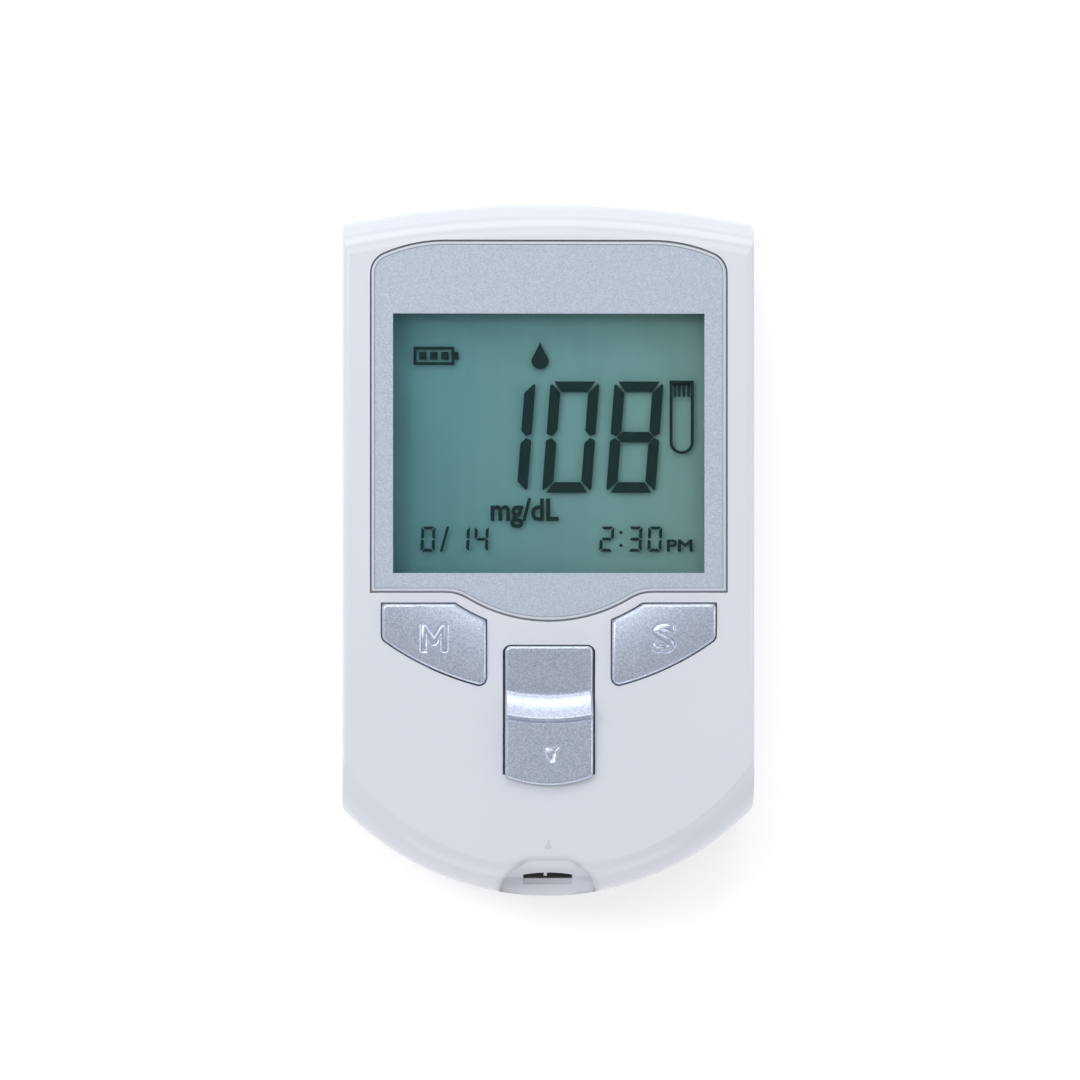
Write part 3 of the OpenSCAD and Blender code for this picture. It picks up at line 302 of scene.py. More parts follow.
tree.links.new(soft_edge.outputs["Normal"], fine.inputs["Normal"])
print("blur of the edges in mm, elsewhere and at the scoop:", EDGE_SOFT / MM, RIM_SOFT / MM)

# %% [markdown]
# ## Silver paint
# The keys, the thumb slider and the film round the display are silver paint: small flakes, each a
# little lighter or darker than its neighbours, under a clear coat. A Voronoi texture gives each flake
# a number of its own, which sets its colour, its roughness and, by a hair, its height.

# %% Silver paints


def silver_paint(name, dark, light, flake_mm, metallic, rough):
    """A paint whose flakes lie between two colours and are about that many millimetres across."""
    material, tree, shader, place = new_material(name)
    flakes = cells(tree, place, flake_mm)
    colour = two_colours(tree, flakes, from_srgb(*dark), from_srgb(*light))
    tree.links.new(colour, shader.inputs["Base Color"])
    shader.inputs["Metallic"].default_value = metallic
    tree.links.new(ramp(tree, flakes, rough - 0.03, rough + 0.03), shader.inputs["Roughness"])
    shader.inputs["Coat Weight"].default_value = 0.25
    shader.inputs["Coat Roughness"].default_value = 0.2
    bump(tree, shader, flakes, 0.0015, 0.35)
    return material


key_paint = silver_paint("silver_flake_paint", (172, 184, 206), (216, 225, 241), 0.12, 0.7, 0.31)
film_paint = silver_paint("silver_film", (175, 187, 202), (201, 212, 226), 0.14, 0.25, 0.5)
# The bead's light silver is partly a painted highlight, for the glint on the window's polished edge.
rim_silver_with_glint = silver_paint("lens_rim_silver_and_painted_glint", (206, 211, 220), (212, 217, 226), 0.1, 0.3, 0.4)
print("silver paints:", key_paint.name, film_paint.name, rim_silver_with_glint.name)

# %% [markdown]
# ## Clear and dark pieces
# The lens and the front glass are clear, so what matters is the little they reflect. A low alpha
# keeps them readable in any renderer. The rear glass carries the reflector. Its green-grey holds
# painted shade and light: it is darker at the left, lighter and warmer at the right, and changes a
# little from the near end to the far one.

# %% Clear pieces


def clear_material(name, tint, alpha, rough):
    """A clear finish: what it lets through is set by alpha, what it mirrors by its roughness."""
    material, tree, shader, place = new_material(name)
    tree.links.new(two_colours(tree, noise(tree, place, 9), tint, tuple(min(1, c * 1.03) for c in tint)),
                   shader.inputs["Base Color"])
    tree.links.new(ramp(tree, noise(tree, place, 3), rough * 0.8, rough * 1.2), shader.inputs["Roughness"])
    shader.inputs["Alpha"].default_value = alpha
    return material


lens_clear = clear_material("clear_lens", (0.05, 0.06, 0.07), 0.04, 0.05)
glass_clear = clear_material("clear_glass", (0.03, 0.05, 0.05), 0.04, 0.08)
print("clear finishes:", lens_clear.name, glass_clear.name)

# %% The reflector of the display
LEFT_TO_RIGHT, NEAR_TO_FAR = (-22 * MM, 22 * MM), (-4 * MM, 34 * MM)
reflector, tree, shader, place = new_material("display_reflector")
split = tree.nodes.new("ShaderNodeSeparateXYZ")
tree.links.new(place, split.inputs["Vector"])
across = ramp(tree, split.outputs["X"], 0, 1, *LEFT_TO_RIGHT)
along = ramp(tree, split.outputs["Y"], 0, 1, *NEAR_TO_FAR)
# Painted shade and light: the reflector's left side is painted darker, its right side lighter and warmer.
left_painted_shade = two_colours(tree, along, from_srgb(90, 151, 157), from_srgb(98, 160, 167))
right_painted_light = two_colours(tree, along, from_srgb(132, 175, 173), from_srgb(128, 175, 173))
painted_shade_blend = tree.nodes.new("ShaderNodeMix")
painted_shade_blend.data_type = "RGBA"
tree.links.new(across, painted_shade_blend.inputs["Factor"])
tree.links.new(left_painted_shade, painted_shade_blend.inputs["A"])
tree.links.new(right_painted_light, painted_shade_blend.inputs["B"])
tree.links.new(painted_shade_blend.outputs["Result"], shader.inputs["Base Color"])
tree.links.new(ramp(tree, noise(tree, place, 0.25), 0.5, 0.62), shader.inputs["Roughness"])
shader.inputs["Specular IOR Level"].default_value = 0.2
print("reflector finish:", reflector.name)

# %% [markdown]
# ## The rest of the finishes
# What is left needs only a plain finish: two close colours in soft lumps, a roughness and, where the
# surface is textured, a slight relief. One helper serves plastic, rubber, metal and lacquer. A list
# then says which solid wears which finish.

# %% Dark and inner finishes


def plain(name, first, second, size_mm, rough, metallic=0.0, depth_mm=0.0):
    """A finish between two close colours, in lumps of a size and perhaps with a relief."""
    material, tree, shader, place = new_material(name)
    lumps = noise(tree, place, size_mm, 3)
    tree.links.new(two_colours(tree, lumps, first, second), shader.inputs["Base Color"])
    tree.links.new(ramp(tree, lumps, rough - 0.05, rough + 0.05), shader.inputs["Roughness"])
    shader.inputs["Metallic"].default_value = metallic
    if depth_mm:
        bump(tree, shader, lumps, depth_mm, 0.5)
    return material


# line_grey colours the window's inner line and its outer line, which is painted shade in the gap at the
# window's edge.
line_grey = plain("line_grey", from_srgb(118, 126, 138), from_srgb(126, 134, 146), 2, 0.5)
display_ink = plain("display_ink", from_srgb(16, 44, 46), from_srgb(20, 49, 51), 2, 0.8)
display_ink.node_tree.nodes["Principled BSDF"].inputs["Specular IOR Level"].default_value = 0.1
black_plastic = plain("black_plastic", (0.018, 0.019, 0.021), (0.024, 0.025, 0.028), 1.2, 0.5, 0, 0.01)
black_rubber = plain("black_rubber", (0.02, 0.02, 0.021), (0.03, 0.03, 0.031), 0.8, 0.75, 0, 0.01)
pale_plastic = plain("pale_plastic", (0.62, 0.63, 0.67), (0.66, 0.67, 0.71), 2, 0.4, 0, 0.005)
pale_rubber = plain("pale_rubber", (0.46, 0.48, 0.51), (0.50, 0.52, 0.55), 0.6, 0.75, 0, 0.02)
nickel = plain("nickel", (0.60, 0.61, 0.62), (0.68, 0.69, 0.70), 0.5, 0.3, 1.0, 0.003)
gilt = plain("gold_plate", (0.80, 0.58, 0.24), (0.86, 0.64, 0.28), 0.5, 0.28, 1.0)
board_green = plain("board_lacquer", (0.012, 0.10, 0.045), (0.018, 0.13, 0.06), 1.5, 0.35, 0, 0.01)
ceramic = plain("chip_ceramic", (0.36, 0.27, 0.17), (0.42, 0.32, 0.21), 0.4, 0.5)
sleeve = plain("battery_sleeve", (0.03, 0.10, 0.28), (0.04, 0.12, 0.32), 6, 0.3, 0.4)

# %% Which solid wears which finish
finish_of = {
    "front_housing": white_plastic, "rear_housing": white_plastic, "battery_door": white_plastic,
    "display_lens": lens_clear, "bezel_film": film_paint, "display_frame": black_plastic,
    "lcd_front_glass": glass_clear, "lcd_rear_glass": reflector, "lcd_connector": black_rubber,
    "display_pad": black_rubber, "main_board": board_green, "m_button": key_paint, "s_button": key_paint,
    "m_switch": black_plastic, "s_switch": black_plastic, "ejector_slider": key_paint,
    "ejector_carriage": pale_plastic, "ejector_spring": nickel, "strip_connector": black_plastic,
    "strip_contacts": gilt, "microcontroller": black_plastic, "memory_chip": black_plastic,
    "crystal": nickel, "chip_capacitors": ceramic, "buzzer": black_plastic, "upper_battery": sleeve,
    "lower_battery": sleeve, "bridge_contact": nickel, "positive_contact": nickel,
    "negative_contact": nickel, "case_screws": nickel, "board_screws": nickel, "rubber_feet": pale_rubber}
for name, finish in finish_of.items():
    slots = nodes[name].data.materials
    slots.clear()
    slots.append(finish)
print("finishes on", len(finish_of), "solids")

# %% [markdown]
# ## Moulded edges
# A moulded piece has no knife edges: each one is broken by a tenth of a millimetre or more, and those
# narrow bands catch the light. On the battery door the solid's mesh is copied, its loose triangles
# are merged, flat areas are joined, and a Bevel modifier rounds what is left sharp. The solid itself
# stays as it is for the physics.

# %% Helpers for pieces
MERGE, TOUCH = 0.002 * MM, 0.001 * MM
FLAT = math.radians(0.3)


def merged(node):
    """A solid's mesh as a bmesh whose loose triangles are joined at their corners."""
    bm = bmesh.new()
    bm.from_mesh(nodes[node].data)
    bmesh.ops.remove_doubles(bm, verts=bm.verts, dist=MERGE)
    return bm


def as_mesh(name, bm, smooth=False):
    """Store a bmesh as a mesh and free it."""
    mesh = bpy.data.meshes.new(name)
    bm.to_mesh(mesh)
    bm.free()
    if smooth:
        for face in mesh.polygons:
            face.use_smooth = True
    return mesh


def pull(bm, faces, vec, keep=False):
    """Extrude faces and move what is new, and keep the faces themselves if they close the piece."""
    made = bmesh.ops.extrude_face_region(bm, geom=faces, use_keep_orig=keep)
    fresh = [v for v in made["geom"] if isinstance(v, bmesh.types.BMVert)]
    bmesh.ops.translate(bm, verts=fresh, vec=vec)


def finished(name, mesh, body, finish):
    """Make a mesh a piece of the meter: it gets its finish and its slot, and rides on a body."""
    piece = bpy.data.objects.new(name, mesh)
    bpy.context.scene.collection.objects.link(piece)
    mesh.materials.clear()
    mesh.materials.append(finish)
    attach(piece, body)
    return piece


# %% The battery door
DOOR_EDGE, DOOR_SHARP = 0.12 * MM, math.radians(35)
bm = merged("battery_door")
bmesh.ops.dissolve_limit(bm, angle_limit=FLAT, verts=bm.verts, edges=bm.edges)
door = finished("door_panel", as_mesh("door_panel", bm, smooth=True), "door", white_plastic)
edge = door.modifiers.new("moulded_edge", "BEVEL")
edge.width = DOOR_EDGE
edge.segments = 2
edge.limit_method = "ANGLE"
edge.angle_limit = DOOR_SHARP
edge.harden_normals = True
edge.miter_outer = "MITER_ARC"
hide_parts("battery_door")
print("moulded piece:", door.name, "with", len(door.data.polygons), "faces before its edges")

# %% [markdown]
# ## Caps with rounded rims
# The two keys and the thumb slider are moulded with a rounded rim about half a millimetre wide. Each
# cap grows out of the solid's own outline: the solid is cut just under the rim and closed, the cut's
# outline is drawn up, and the rim is made of rings that are inset along a quarter of a circle. The
# flat top is then sliced and laid on the height that the moulding has there, so the light runs
# evenly over it. The letters and the arrow are cut into the caps as a fine groove round a floor that
# rises again. Its sloping walls catch the light on one side and hold shade on the other.

# %% Helpers for places
MIDDLE_PX = (549, 550.25)


def top_at(node, x_mm, y_mm):
    """Height of a solid's surface under a place, in metres."""
    bm = bmesh.new()
    bm.from_mesh(nodes[node].data)
    point = BVHTree.FromBMesh(bm).ray_cast(Vector((x_mm * MM, y_mm * MM, 0.1)), Vector((0, 0, -1)))[0]
    bm.free()
    return point.z


def in_mm(px, py):
    """A place in the 1080 pixel picture as millimetres on the meter."""
    return (px - MIDDLE_PX[0]) / PX_PER_MM, (MIDDLE_PX[1] - py) / PX_PER_MM


# %% Helpers for engraving
SINK_STEPS = ((0.06, 0.17), (0.09, -0.1))
CUTTER_REACH = (0, 0, 0.4 * MM)


def carve(mesh, cutter_mesh):
    """The mesh with the cutter's shape taken out."""
    whole = bpy.data.objects.new("whole", mesh)
    cutter = bpy.data.objects.new("cutter", cutter_mesh)
    for thing in (whole, cutter):
        bpy.context.scene.collection.objects.link(thing)
    cut = whole.modifiers.new("engraved", "BOOLEAN")
    cut.operation = "DIFFERENCE"
    cut.solver = "EXACT"
    cut.object = cutter
    ready = whole.evaluated_get(bpy.context.evaluated_depsgraph_get())
    carved = bpy.data.meshes.new_from_object(ready)
    for thing in (whole, cutter):
        bpy.data.objects.remove(thing)
    return carved


def letter_cutter(name, bm, height):
    """Turn flat faces into a cutter that leaves a groove round a raised floor, laid on the surface.
    Each step goes inward and down by so many millimetres."""
    bm.normal_update()
    outline = bm.faces[:]
    pull(bm, outline, CUTTER_REACH, keep=True)
    for inward_mm, down_mm in SINK_STEPS:
        bmesh.ops.inset_region(bm, faces=outline, thickness=inward_mm * MM, use_even_offset=True)
        floor = {v for face in outline for v in face.verts}
        bmesh.ops.translate(bm, verts=list(floor), vec=(0, 0, -down_mm * MM))
    for v in bm.verts:
        v.co.z += height(v.co.x, v.co.y)
    bmesh.ops.recalc_face_normals(bm, faces=bm.faces)
    return as_mesh(name, bm)


# %% Helpers for flat shapes and lettering


def flat_face(bm, points, z):
    """A face from its corners in millimetres, at a level in metres."""
    return bm.faces.new([bm.verts.new((x * MM, y * MM, z)) for x, y in points])


def flat_words(name, text, left_px, base_px, width_px, height_px, z, fatten=0.0, rim=0.0, thick=0.0):
    """Lettering from its left end and base line in pixels, as wide and as tall as it is to be.
    It is flat, or has a bevelled rim that makes it bolder and a thickness of its own."""
    curve = bpy.data.curves.new(name, "FONT")
    curve.body = text
    curve.offset = fatten
    curve.bevel_depth = rim
    curve.bevel_resolution = 0
    if rim:
        curve.fill_mode = "BOTH"
    curve.resolution_u = 6
    maker = bpy.data.objects.new(name, curve)
    mesh = bpy.data.meshes.new_from_object(maker)
    bpy.data.objects.remove(maker)
    xs = [v.co.x for v in mesh.vertices]
    ys = [v.co.y for v in mesh.vertices]
    sx = width_px / PX_PER_MM * MM / (max(xs) - min(xs))
    sy = height_px / PX_PER_MM * MM / (max(ys) + rim)
    sz = thick / (2 * rim) if rim else 1
    x, y = in_mm(left_px, base_px)
    mesh.transform(Matrix.Translation((x * MM - min(xs) * sx, y * MM + rim * sy, z)) @
                   Matrix.Diagonal((sx, sy, sz, 1)))
    bm = bmesh.new()
    bm.from_mesh(mesh)
    bmesh.ops.remove_doubles(bm, verts=bm.verts, dist=TOUCH)
    bpy.data.meshes.remove(mesh)
    return bm


# %% Helpers for caps


def solid_below(node, level):
    """The solid under a level, closed at the cut, and the face that closes it."""
    bm = merged(node)
    bmesh.ops.dissolve_limit(bm, angle_limit=FLAT, verts=bm.verts, edges=bm.edges)
    bmesh.ops.bisect_plane(bm, geom=bm.verts[:] + bm.edges[:] + bm.faces[:], dist=TOUCH,
                           plane_co=(0, 0, level), plane_no=(0, 0, 1), clear_outer=True)
    lid = bmesh.ops.contextual_create(bm, geom=[e for e in bm.edges if e.is_boundary])["faces"][0]
    return bm, lid


def slice_at(bm, faces, axis, levels):
    """Cut faces by upright planes at the levels of one axis, and return what they became."""
    normal = Vector((1, 0, 0)) if axis == 0 else Vector((0, 1, 0))
    for level in levels:
        edges, corners = {e for f in faces for e in f.edges}, {v for f in faces for v in f.verts}
        cut = bmesh.ops.bisect_plane(bm, geom=[*faces, *edges, *corners], dist=TOUCH,
                                     plane_co=normal * level, plane_no=normal)
        faces = [f for f in cut["geom"] if isinstance(f, bmesh.types.BMFace)]
    return faces


def bend(bm, move):
    """Move every corner across the face by a rule for its place."""
    for v in bm.verts:
        v.co.x, v.co.y = move(v.co.x, v.co.y)


def as_is(x, y):
    """The rule that moves nothing."""
    return x, y


# %% The outline of a cap
SHORT_MM, CLOSE_MM, LONG_MM = 0.12, 0.05, 1.6
MARKED_MM, PLAIN_MM = 0.4, 0.8
TURN_LEAST, CORNER_ROOM = math.radians(24), 1.2


def cap_outline(lid, corner_mm, marks, there, back):
    """One flat face in the outline of a lid. Its corners are rounded and its long sides divided,
    and every mark, a level along the cap, puts a corner on both of its sides."""
    bm = bmesh.new()
    bm.faces.new([bm.verts.new(v.co) for v in lid.verts])
    bmesh.ops.remove_doubles(bm, verts=bm.verts, dist=SHORT_MM * MM)
    face = bm.faces[:][0]
    face.normal_update()
    corners = [c.vert for c in face.loops if abs(math.pi - c.calc_angle()) > TURN_LEAST
               and min(e.calc_length() for e in c.vert.link_edges) > CORNER_ROOM * corner_mm * MM]
    if corners:
        bmesh.ops.bevel(bm, geom=corners, offset=corner_mm * MM, offset_type="OFFSET", segments=6,
                        profile=0.5, affect="VERTICES", material=-1)
    spacing = (MARKED_MM if marks else PLAIN_MM) * MM
    for edge in [e for e in bm.edges if e.calc_length() > LONG_MM * MM]:
        bmesh.ops.bisect_edges(bm, edges=[edge], cuts=int(edge.calc_length() / spacing) - 1)
    if marks:
        bend(bm, there)
        slice_at(bm, bm.faces[:], 1, marks)
        bend(bm, back)
        bmesh.ops.dissolve_faces(bm, faces=bm.faces[:])
        bmesh.ops.remove_doubles(bm, verts=bm.verts, dist=CLOSE_MM * MM)
    return bm


# %% The cap on its outline
RIM_STEPS = 6
CAP_SHARP = math.radians(26)


def grow_cap(lid, base, height, rim_mm, corner_mm, across, along, marks=(), there=as_is, back=as_is):
    """Draw a cap up from an outline, with a rounded rim. Base and height give its underside and top.
    Across and along say where the top is sliced, after there and before back bend it."""
    bm = cap_outline(lid, corner_mm, marks, there, back)
    face = bm.faces[:][0]
    made = bmesh.ops.extrude_face_region(bm, geom=[face], use_keep_orig=True)
    top = next(f for f in made["geom"] if isinstance(f, bmesh.types.BMFace))
    for v in set(bm.verts) - set(top.verts):
        v.co.z = base(v.co.x, v.co.y)
    drop = {v: rim_mm * MM for v in top.verts}
    for k in range(1, RIM_STEPS + 1):
        before, now = math.radians(90 * (k - 1) / RIM_STEPS), math.radians(90 * k / RIM_STEPS)
        last = drop[top.verts[0]]
        top.normal_update()
        ring = bmesh.ops.inset_region(bm, faces=[top], use_even_offset=True,
                                      thickness=rim_mm * MM * (math.cos(before) - math.cos(now)))["faces"]
        for v in {v for f in ring for v in f.verts} - set(top.verts):
            drop[v] = last
        for v in top.verts:
            drop[v] = rim_mm * MM * (1 - math.sin(now))
    bend(bm, there)
    inner = slice_at(bm, slice_at(bm, [top], 1, along), 0, across)
    bend(bm, back)
    for v in {v for f in inner for v in f.verts}:
        drop[v] = 0.0
    for v, d in drop.items():
        v.co.z = height(v.co.x, v.co.y) - d
    bmesh.ops.recalc_face_normals(bm, faces=bm.faces)
    return as_mesh("cap", bm)


def steps_of(low, high, step):
    """Levels from low to high, given in millimetres and returned in metres."""
    return [(low + step * k) * MM for k in range(int((high - low) / step) + 1)]


def dressed(name, node, body, foot, cap):
    """Join the carved cap with the rest of the solid, and let it stand for the node."""
    foot.from_mesh(cap)
    mesh = as_mesh(name, foot, smooth=True)
    mesh.set_sharp_from_angle(angle=CAP_SHARP)
    piece = finished(name, mesh, body, key_paint)
    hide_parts(node)
    return piece


# %% The crown of the keys
CROWN_R = 38 * MM
CROWN_TURN = math.radians(29)
CROWN_X, CROWN_Y = 14.17 * MM, -11.72 * MM
CROWN_Z = FACE_Z + 0.7 * MM


def crown(side):
    """The crown is part of a lying cylinder. The left key is the right one mirrored."""
    def height(x, y):
        off = (y - CROWN_Y) * math.cos(CROWN_TURN) - (side * x - CROWN_X) * math.sin(CROWN_TURN)
        return CROWN_Z - CROWN_R + math.sqrt(CROWN_R ** 2 - off ** 2)
    return height


print("crown off the solids by mm, left and right:",
      [round((crown(side)(side * 0.015, -0.012) - top_at(node, side * 15, -12)) / MM, 4)
       for side, node in ((-1, "m_button"), (1, "s_button"))])

# %% The letters of the keys
M_AT = in_mm(420.9, 651.7)
M_W, M_H, STROKE = 3.66, 3.87, 0.78
NOTCH_DEEP, NOTCH_IN, INNER_DEEP, TIP_H, TIP_HALF = 1.6, 0.12, 1.25, 1.02, 0.24
m_outline = [(0, 0), (STROKE, 0), (STROKE, M_H - INNER_DEEP), (M_W / 2 - TIP_HALF, TIP_H),
             (M_W / 2 + TIP_HALF, TIP_H), (M_W - STROKE, M_H - INNER_DEEP), (M_W - STROKE, 0), (M_W, 0),
             (M_W, M_H), (M_W - STROKE - NOTCH_IN, M_H), (M_W / 2, M_H - NOTCH_DEEP),
             (STROKE + NOTCH_IN, M_H), (0, M_H)]
m_bm = bmesh.new()
flat_face(m_bm, [(M_AT[0] + x, M_AT[1] + y) for x, y in m_outline], 0)
S_LEFT_PX, S_BASE_PX, S_WIDTH_PX, S_HEIGHT_PX = 652.2, 651.0, 23.0, 28.0
s_bm = flat_words("s_letter", "S", S_LEFT_PX, S_BASE_PX, S_WIDTH_PX, S_HEIGHT_PX, 0, fatten=0.04)
print("corners of the letters:", len(m_bm.verts), len(s_bm.verts))

# %% The key caps
KEY_CUT = 21.0 * MM
KEY_RIM, KEY_CORNER = 0.46, 0.62
KEY_ACROSS, KEY_ALONG = steps_of(-25, 25, 0.5), steps_of(-25, -5, 0.5)


def key_base(x, y):
    """The underside of a key's cap is level."""
    return KEY_CUT


for name, node, body, side, letter in (("m_key_cap", "m_button", "m_key", -1, m_bm),
                                       ("s_key_cap", "s_button", "s_key", 1, s_bm)):
    foot, lid = solid_below(node, KEY_CUT)
    cap = grow_cap(lid, key_base, crown(side), KEY_RIM, KEY_CORNER, KEY_ACROSS, KEY_ALONG)
    plain_faces = len(cap.polygons)
    cap = carve(cap, letter_cutter(name + "_letter", letter, crown(side)))
    key = dressed(name, node, body, foot, cap)
    print(key.name, "faces before and after its letter:", plain_faces, len(cap.polygons))

# %% [markdown]
# ## The thumb slider
# The slider's ridge is an arc, and so are the hollow before it and the drop behind it. Its height
# therefore depends only on the distance from the middle of that arc: a plate, a hollow that rises to
# the ridge, a short drop and the lower plate. To slice the top along the arcs, the cap is laid out
# flat round that middle, sliced straight, and bent back.

# %% The slider's height
RIDGE_Y = 7.4
RIDGE_R = 31.0
HOLLOW_RUN, HOLLOW_FOOT, HOLLOW_BEND = 3.2, 0.12, 0.55
CREST_H = 1.95
PLATE_HEAD, PLATE_TAIL = (19.86, 1.05), (41.43, 0.95)
AFTER_CREST = [(RIDGE_R, CREST_H), (RIDGE_R + 0.36, CREST_H - 0.08), (RIDGE_R + 0.6, CREST_H - 0.6),
               PLATE_TAIL]


def between(points, r):
    """The height at a distance, on straight lines between points of distance and height."""
    for (r0, z0), (r1, z1) in zip(points, points[1:]):
        if r <= r1:
            return z0 + (z1 - z0) * (r - r0) / (r1 - r0)
    return points[-1][1]


def thumb_height(x, y):
    """Height of the slider's top over a place, all in metres."""
    r = math.hypot(x / MM, y / MM - RIDGE_Y)
    start = RIDGE_R - HOLLOW_RUN
    if r < start:
        z = between([PLATE_HEAD, (start, HOLLOW_FOOT)], r)
    elif r < RIDGE_R:
        t = (r - start) / HOLLOW_RUN
        rise = HOLLOW_BEND * (1 - math.cos(math.pi / 2 * t)) + (1 - HOLLOW_BEND) * t
        z = HOLLOW_FOOT + (CREST_H - HOLLOW_FOOT) * rise
    else:
        z = between(AFTER_CREST, r)
    return FACE_Z + z * MM


for y in (-15.5, -22, -23.6, -26, -31):
    print("slider height off the solid by mm at y", y, ":",
          round((thumb_height(0.001, y * MM) - top_at("ejector_slider", 1, y)) / MM, 4))

# %% The slider's underside and its arcs
PLATE_CUT = FACE_Z + 0.11 * MM
PLUG_CUT, PLUG_FOOT = FACE_Z - 0.4 * MM, -26 * MM
CREST_STEPS = (-0.12, 0, 0.12, 0.24, 0.36, 0.44, 0.52, 0.6, 0.7)
MARKS_FROM, MARKS_TO = -38.9 * MM, -23.2 * MM


def slider_base(x, y):
    """The plug reaches down through the face, and the plate beyond it clears the face by a tenth."""
    return PLUG_CUT if y > PLUG_FOOT else PLATE_CUT


def to_arc(x, y):
    """Lay the plate out flat, with the ridge's arcs as straight lines."""
    return math.atan2(x, RIDGE_Y * MM - y) * RIDGE_R * MM, -math.hypot(x, y - RIDGE_Y * MM)


def from_arc(u, v):
    """Bend the plate back to its arcs."""
    angle = u / (RIDGE_R * MM)
    return -v * math.sin(angle), RIDGE_Y * MM + v * math.cos(angle)


levels = steps_of(-40.5, -32, 0.8) + steps_of(-30.7, -20.9, 0.35)
levels += [-(RIDGE_R + step) * MM for step in CREST_STEPS]
levels = sorted(levels)
marks = [level for level in levels if MARKS_FROM < level < MARKS_TO]
print("slices along the slider:", len(levels), "of which marked on its sides:", len(marks))

# %% The thumb slider
SLIDER_RIM, SLIDER_CORNER = 0.42, 0.5
SLIDER_ACROSS = steps_of(-8, 8, 0.8)
ARROW_PX = ((543.9, 747.2), (550.6, 762.4), (557.3, 747.2))
arrow_bm = bmesh.new()
flat_face(arrow_bm, [in_mm(*corner) for corner in ARROW_PX], 0)
foot = solid_below("ejector_slider", PLUG_CUT)[0]
upper, lid = solid_below("ejector_slider", PLATE_CUT)
cap = grow_cap(lid, slider_base, thumb_height, SLIDER_RIM, SLIDER_CORNER, SLIDER_ACROSS, levels, marks,
               there=to_arc, back=from_arc)
upper.free()
cap = carve(cap, letter_cutter("arrow", arrow_bm, thumb_height))
slider = dressed("thumb_slider", "ejector_slider", "ejector", foot, cap)
print("slider faces:", len(slider.data.polygons))

# %% [markdown]
# ## The step under the thumb ridge
# A narrow step runs along the foot of the ridge and shows there as a fine line. Its section is a
# small rectangle, spun round the middle of the ridge's arc.

# %% The step under the thumb ridge
RIDGE_CENTRE = Vector((0, RIDGE_Y, 0)) * MM
STEP_IN, STEP_OUT, STEP_HALF = 31.68, 32.06, 5.9
STEP_LOW, STEP_HIGH = 23.2, 23.46
half_turn = math.asin(STEP_HALF / STEP_OUT)
bm = bmesh.new()
corners = ((STEP_IN, STEP_LOW), (STEP_OUT, STEP_LOW), (STEP_OUT, STEP_HIGH), (STEP_IN, STEP_HIGH))
start = Vector((-math.sin(half_turn), -math.cos(half_turn), 0))
section = bm.faces.new([bm.verts.new(RIDGE_CENTRE + (start * r + Vector((0, 0, z))) * MM)
                        for r, z in corners])
bmesh.ops.spin(bm, geom=[section, *section.edges, *section.verts], cent=RIDGE_CENTRE, axis=(0, 0, 1),
               angle=2 * half_turn, steps=24)
bmesh.ops.recalc_face_normals(bm, faces=bm.faces)
ridge_step = finished("ridge_step", as_mesh("ridge_step", bm), "ejector", key_paint)
soft = ridge_step.modifiers.new("soft_edge", "BEVEL")
soft.width = 0.1 * MM
soft.segments = 3
print("step faces:", len(ridge_step.data.polygons))

# %% [markdown]
# ## The ejector's spring
# A coil beside the slider's rail pushes the slider back. One end rests on a post of the case, and the
# other is pushed 5 mm toward it when a strip is ejected. The coil is taken from the solid, merged and
# shaded smooth, and rides on the case.

# %% The ejector's spring
COIL_SHARP = math.radians(60)
coil = finished("ejector_coil", as_mesh("ejector_coil", merged("ejector_spring"), smooth=True), "case",
                nickel)
coil.data.set_sharp_from_angle(angle=COIL_SHARP)
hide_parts("ejector_spring")
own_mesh(coil)

# %% [markdown]
# ## The rim of the window
# A fine bead runs round the clear window, with a dark line on each side of it. The bead's light silver
# is partly a painted highlight, for the glint on the window's polished edge, and the outer line is
# painted shade, for the shade in the gap between the window and the shell. The lines follow the
# window's own outline: its top face is taken, inset as far as the line lies from the edge and then by
# the width of the line, and only the ring between the two is kept.

# %% Lines round the window
UPWARD = 0.9
SEATED = 0.02 * MM


def rim_line(name, node, start_mm, width_mm, thick_mm, finish):
    """A raised line that follows a solid's top outline, so far from its edge, so wide and so thick."""
    bm = merged(node)
    bm.normal_update()
    top = max(v.co.z for v in bm.verts) - 0.01 * MM
    lower = [f for f in bm.faces if f.normal.z < UPWARD or f.calc_center_median().z < top]
    bmesh.ops.delete(bm, geom=lower, context="FACES")
    face = bmesh.ops.dissolve_faces(bm, faces=bm.faces)["region"][0]
    face.normal_update()
    if start_mm:
        bmesh.ops.inset_region(bm, faces=[face], thickness=start_mm * MM, use_even_offset=True,
                               use_boundary=True)
        bmesh.ops.delete(bm, geom=[f for f in bm.faces if f != face], context="FACES")
        bm.faces.ensure_lookup_table()
        face = bm.faces[0]
    bmesh.ops.inset_region(bm, faces=[face], thickness=width_mm * MM, use_even_offset=True, use_boundary=True)
    bmesh.ops.delete(bm, geom=[face], context="FACES_ONLY")
    bmesh.ops.translate(bm, verts=bm.verts, vec=(0, 0, -SEATED))
    pull(bm, bm.faces[:], (0, 0, thick_mm * MM))
    bmesh.ops.recalc_face_normals(bm, faces=bm.faces)
    return finished(name, as_mesh(name, bm), "case", finish)


# The bead is raised geometry, and its light silver is partly a painted highlight of the polished edge.
bead = rim_line("window_bead", "display_lens", 0.16, 0.34, 0.12, rim_silver_with_glint)
bead_edge = bead.modifiers.new("round_top", "BEVEL")
bead_edge.width = 0.09 * MM
bead_edge.segments = 3
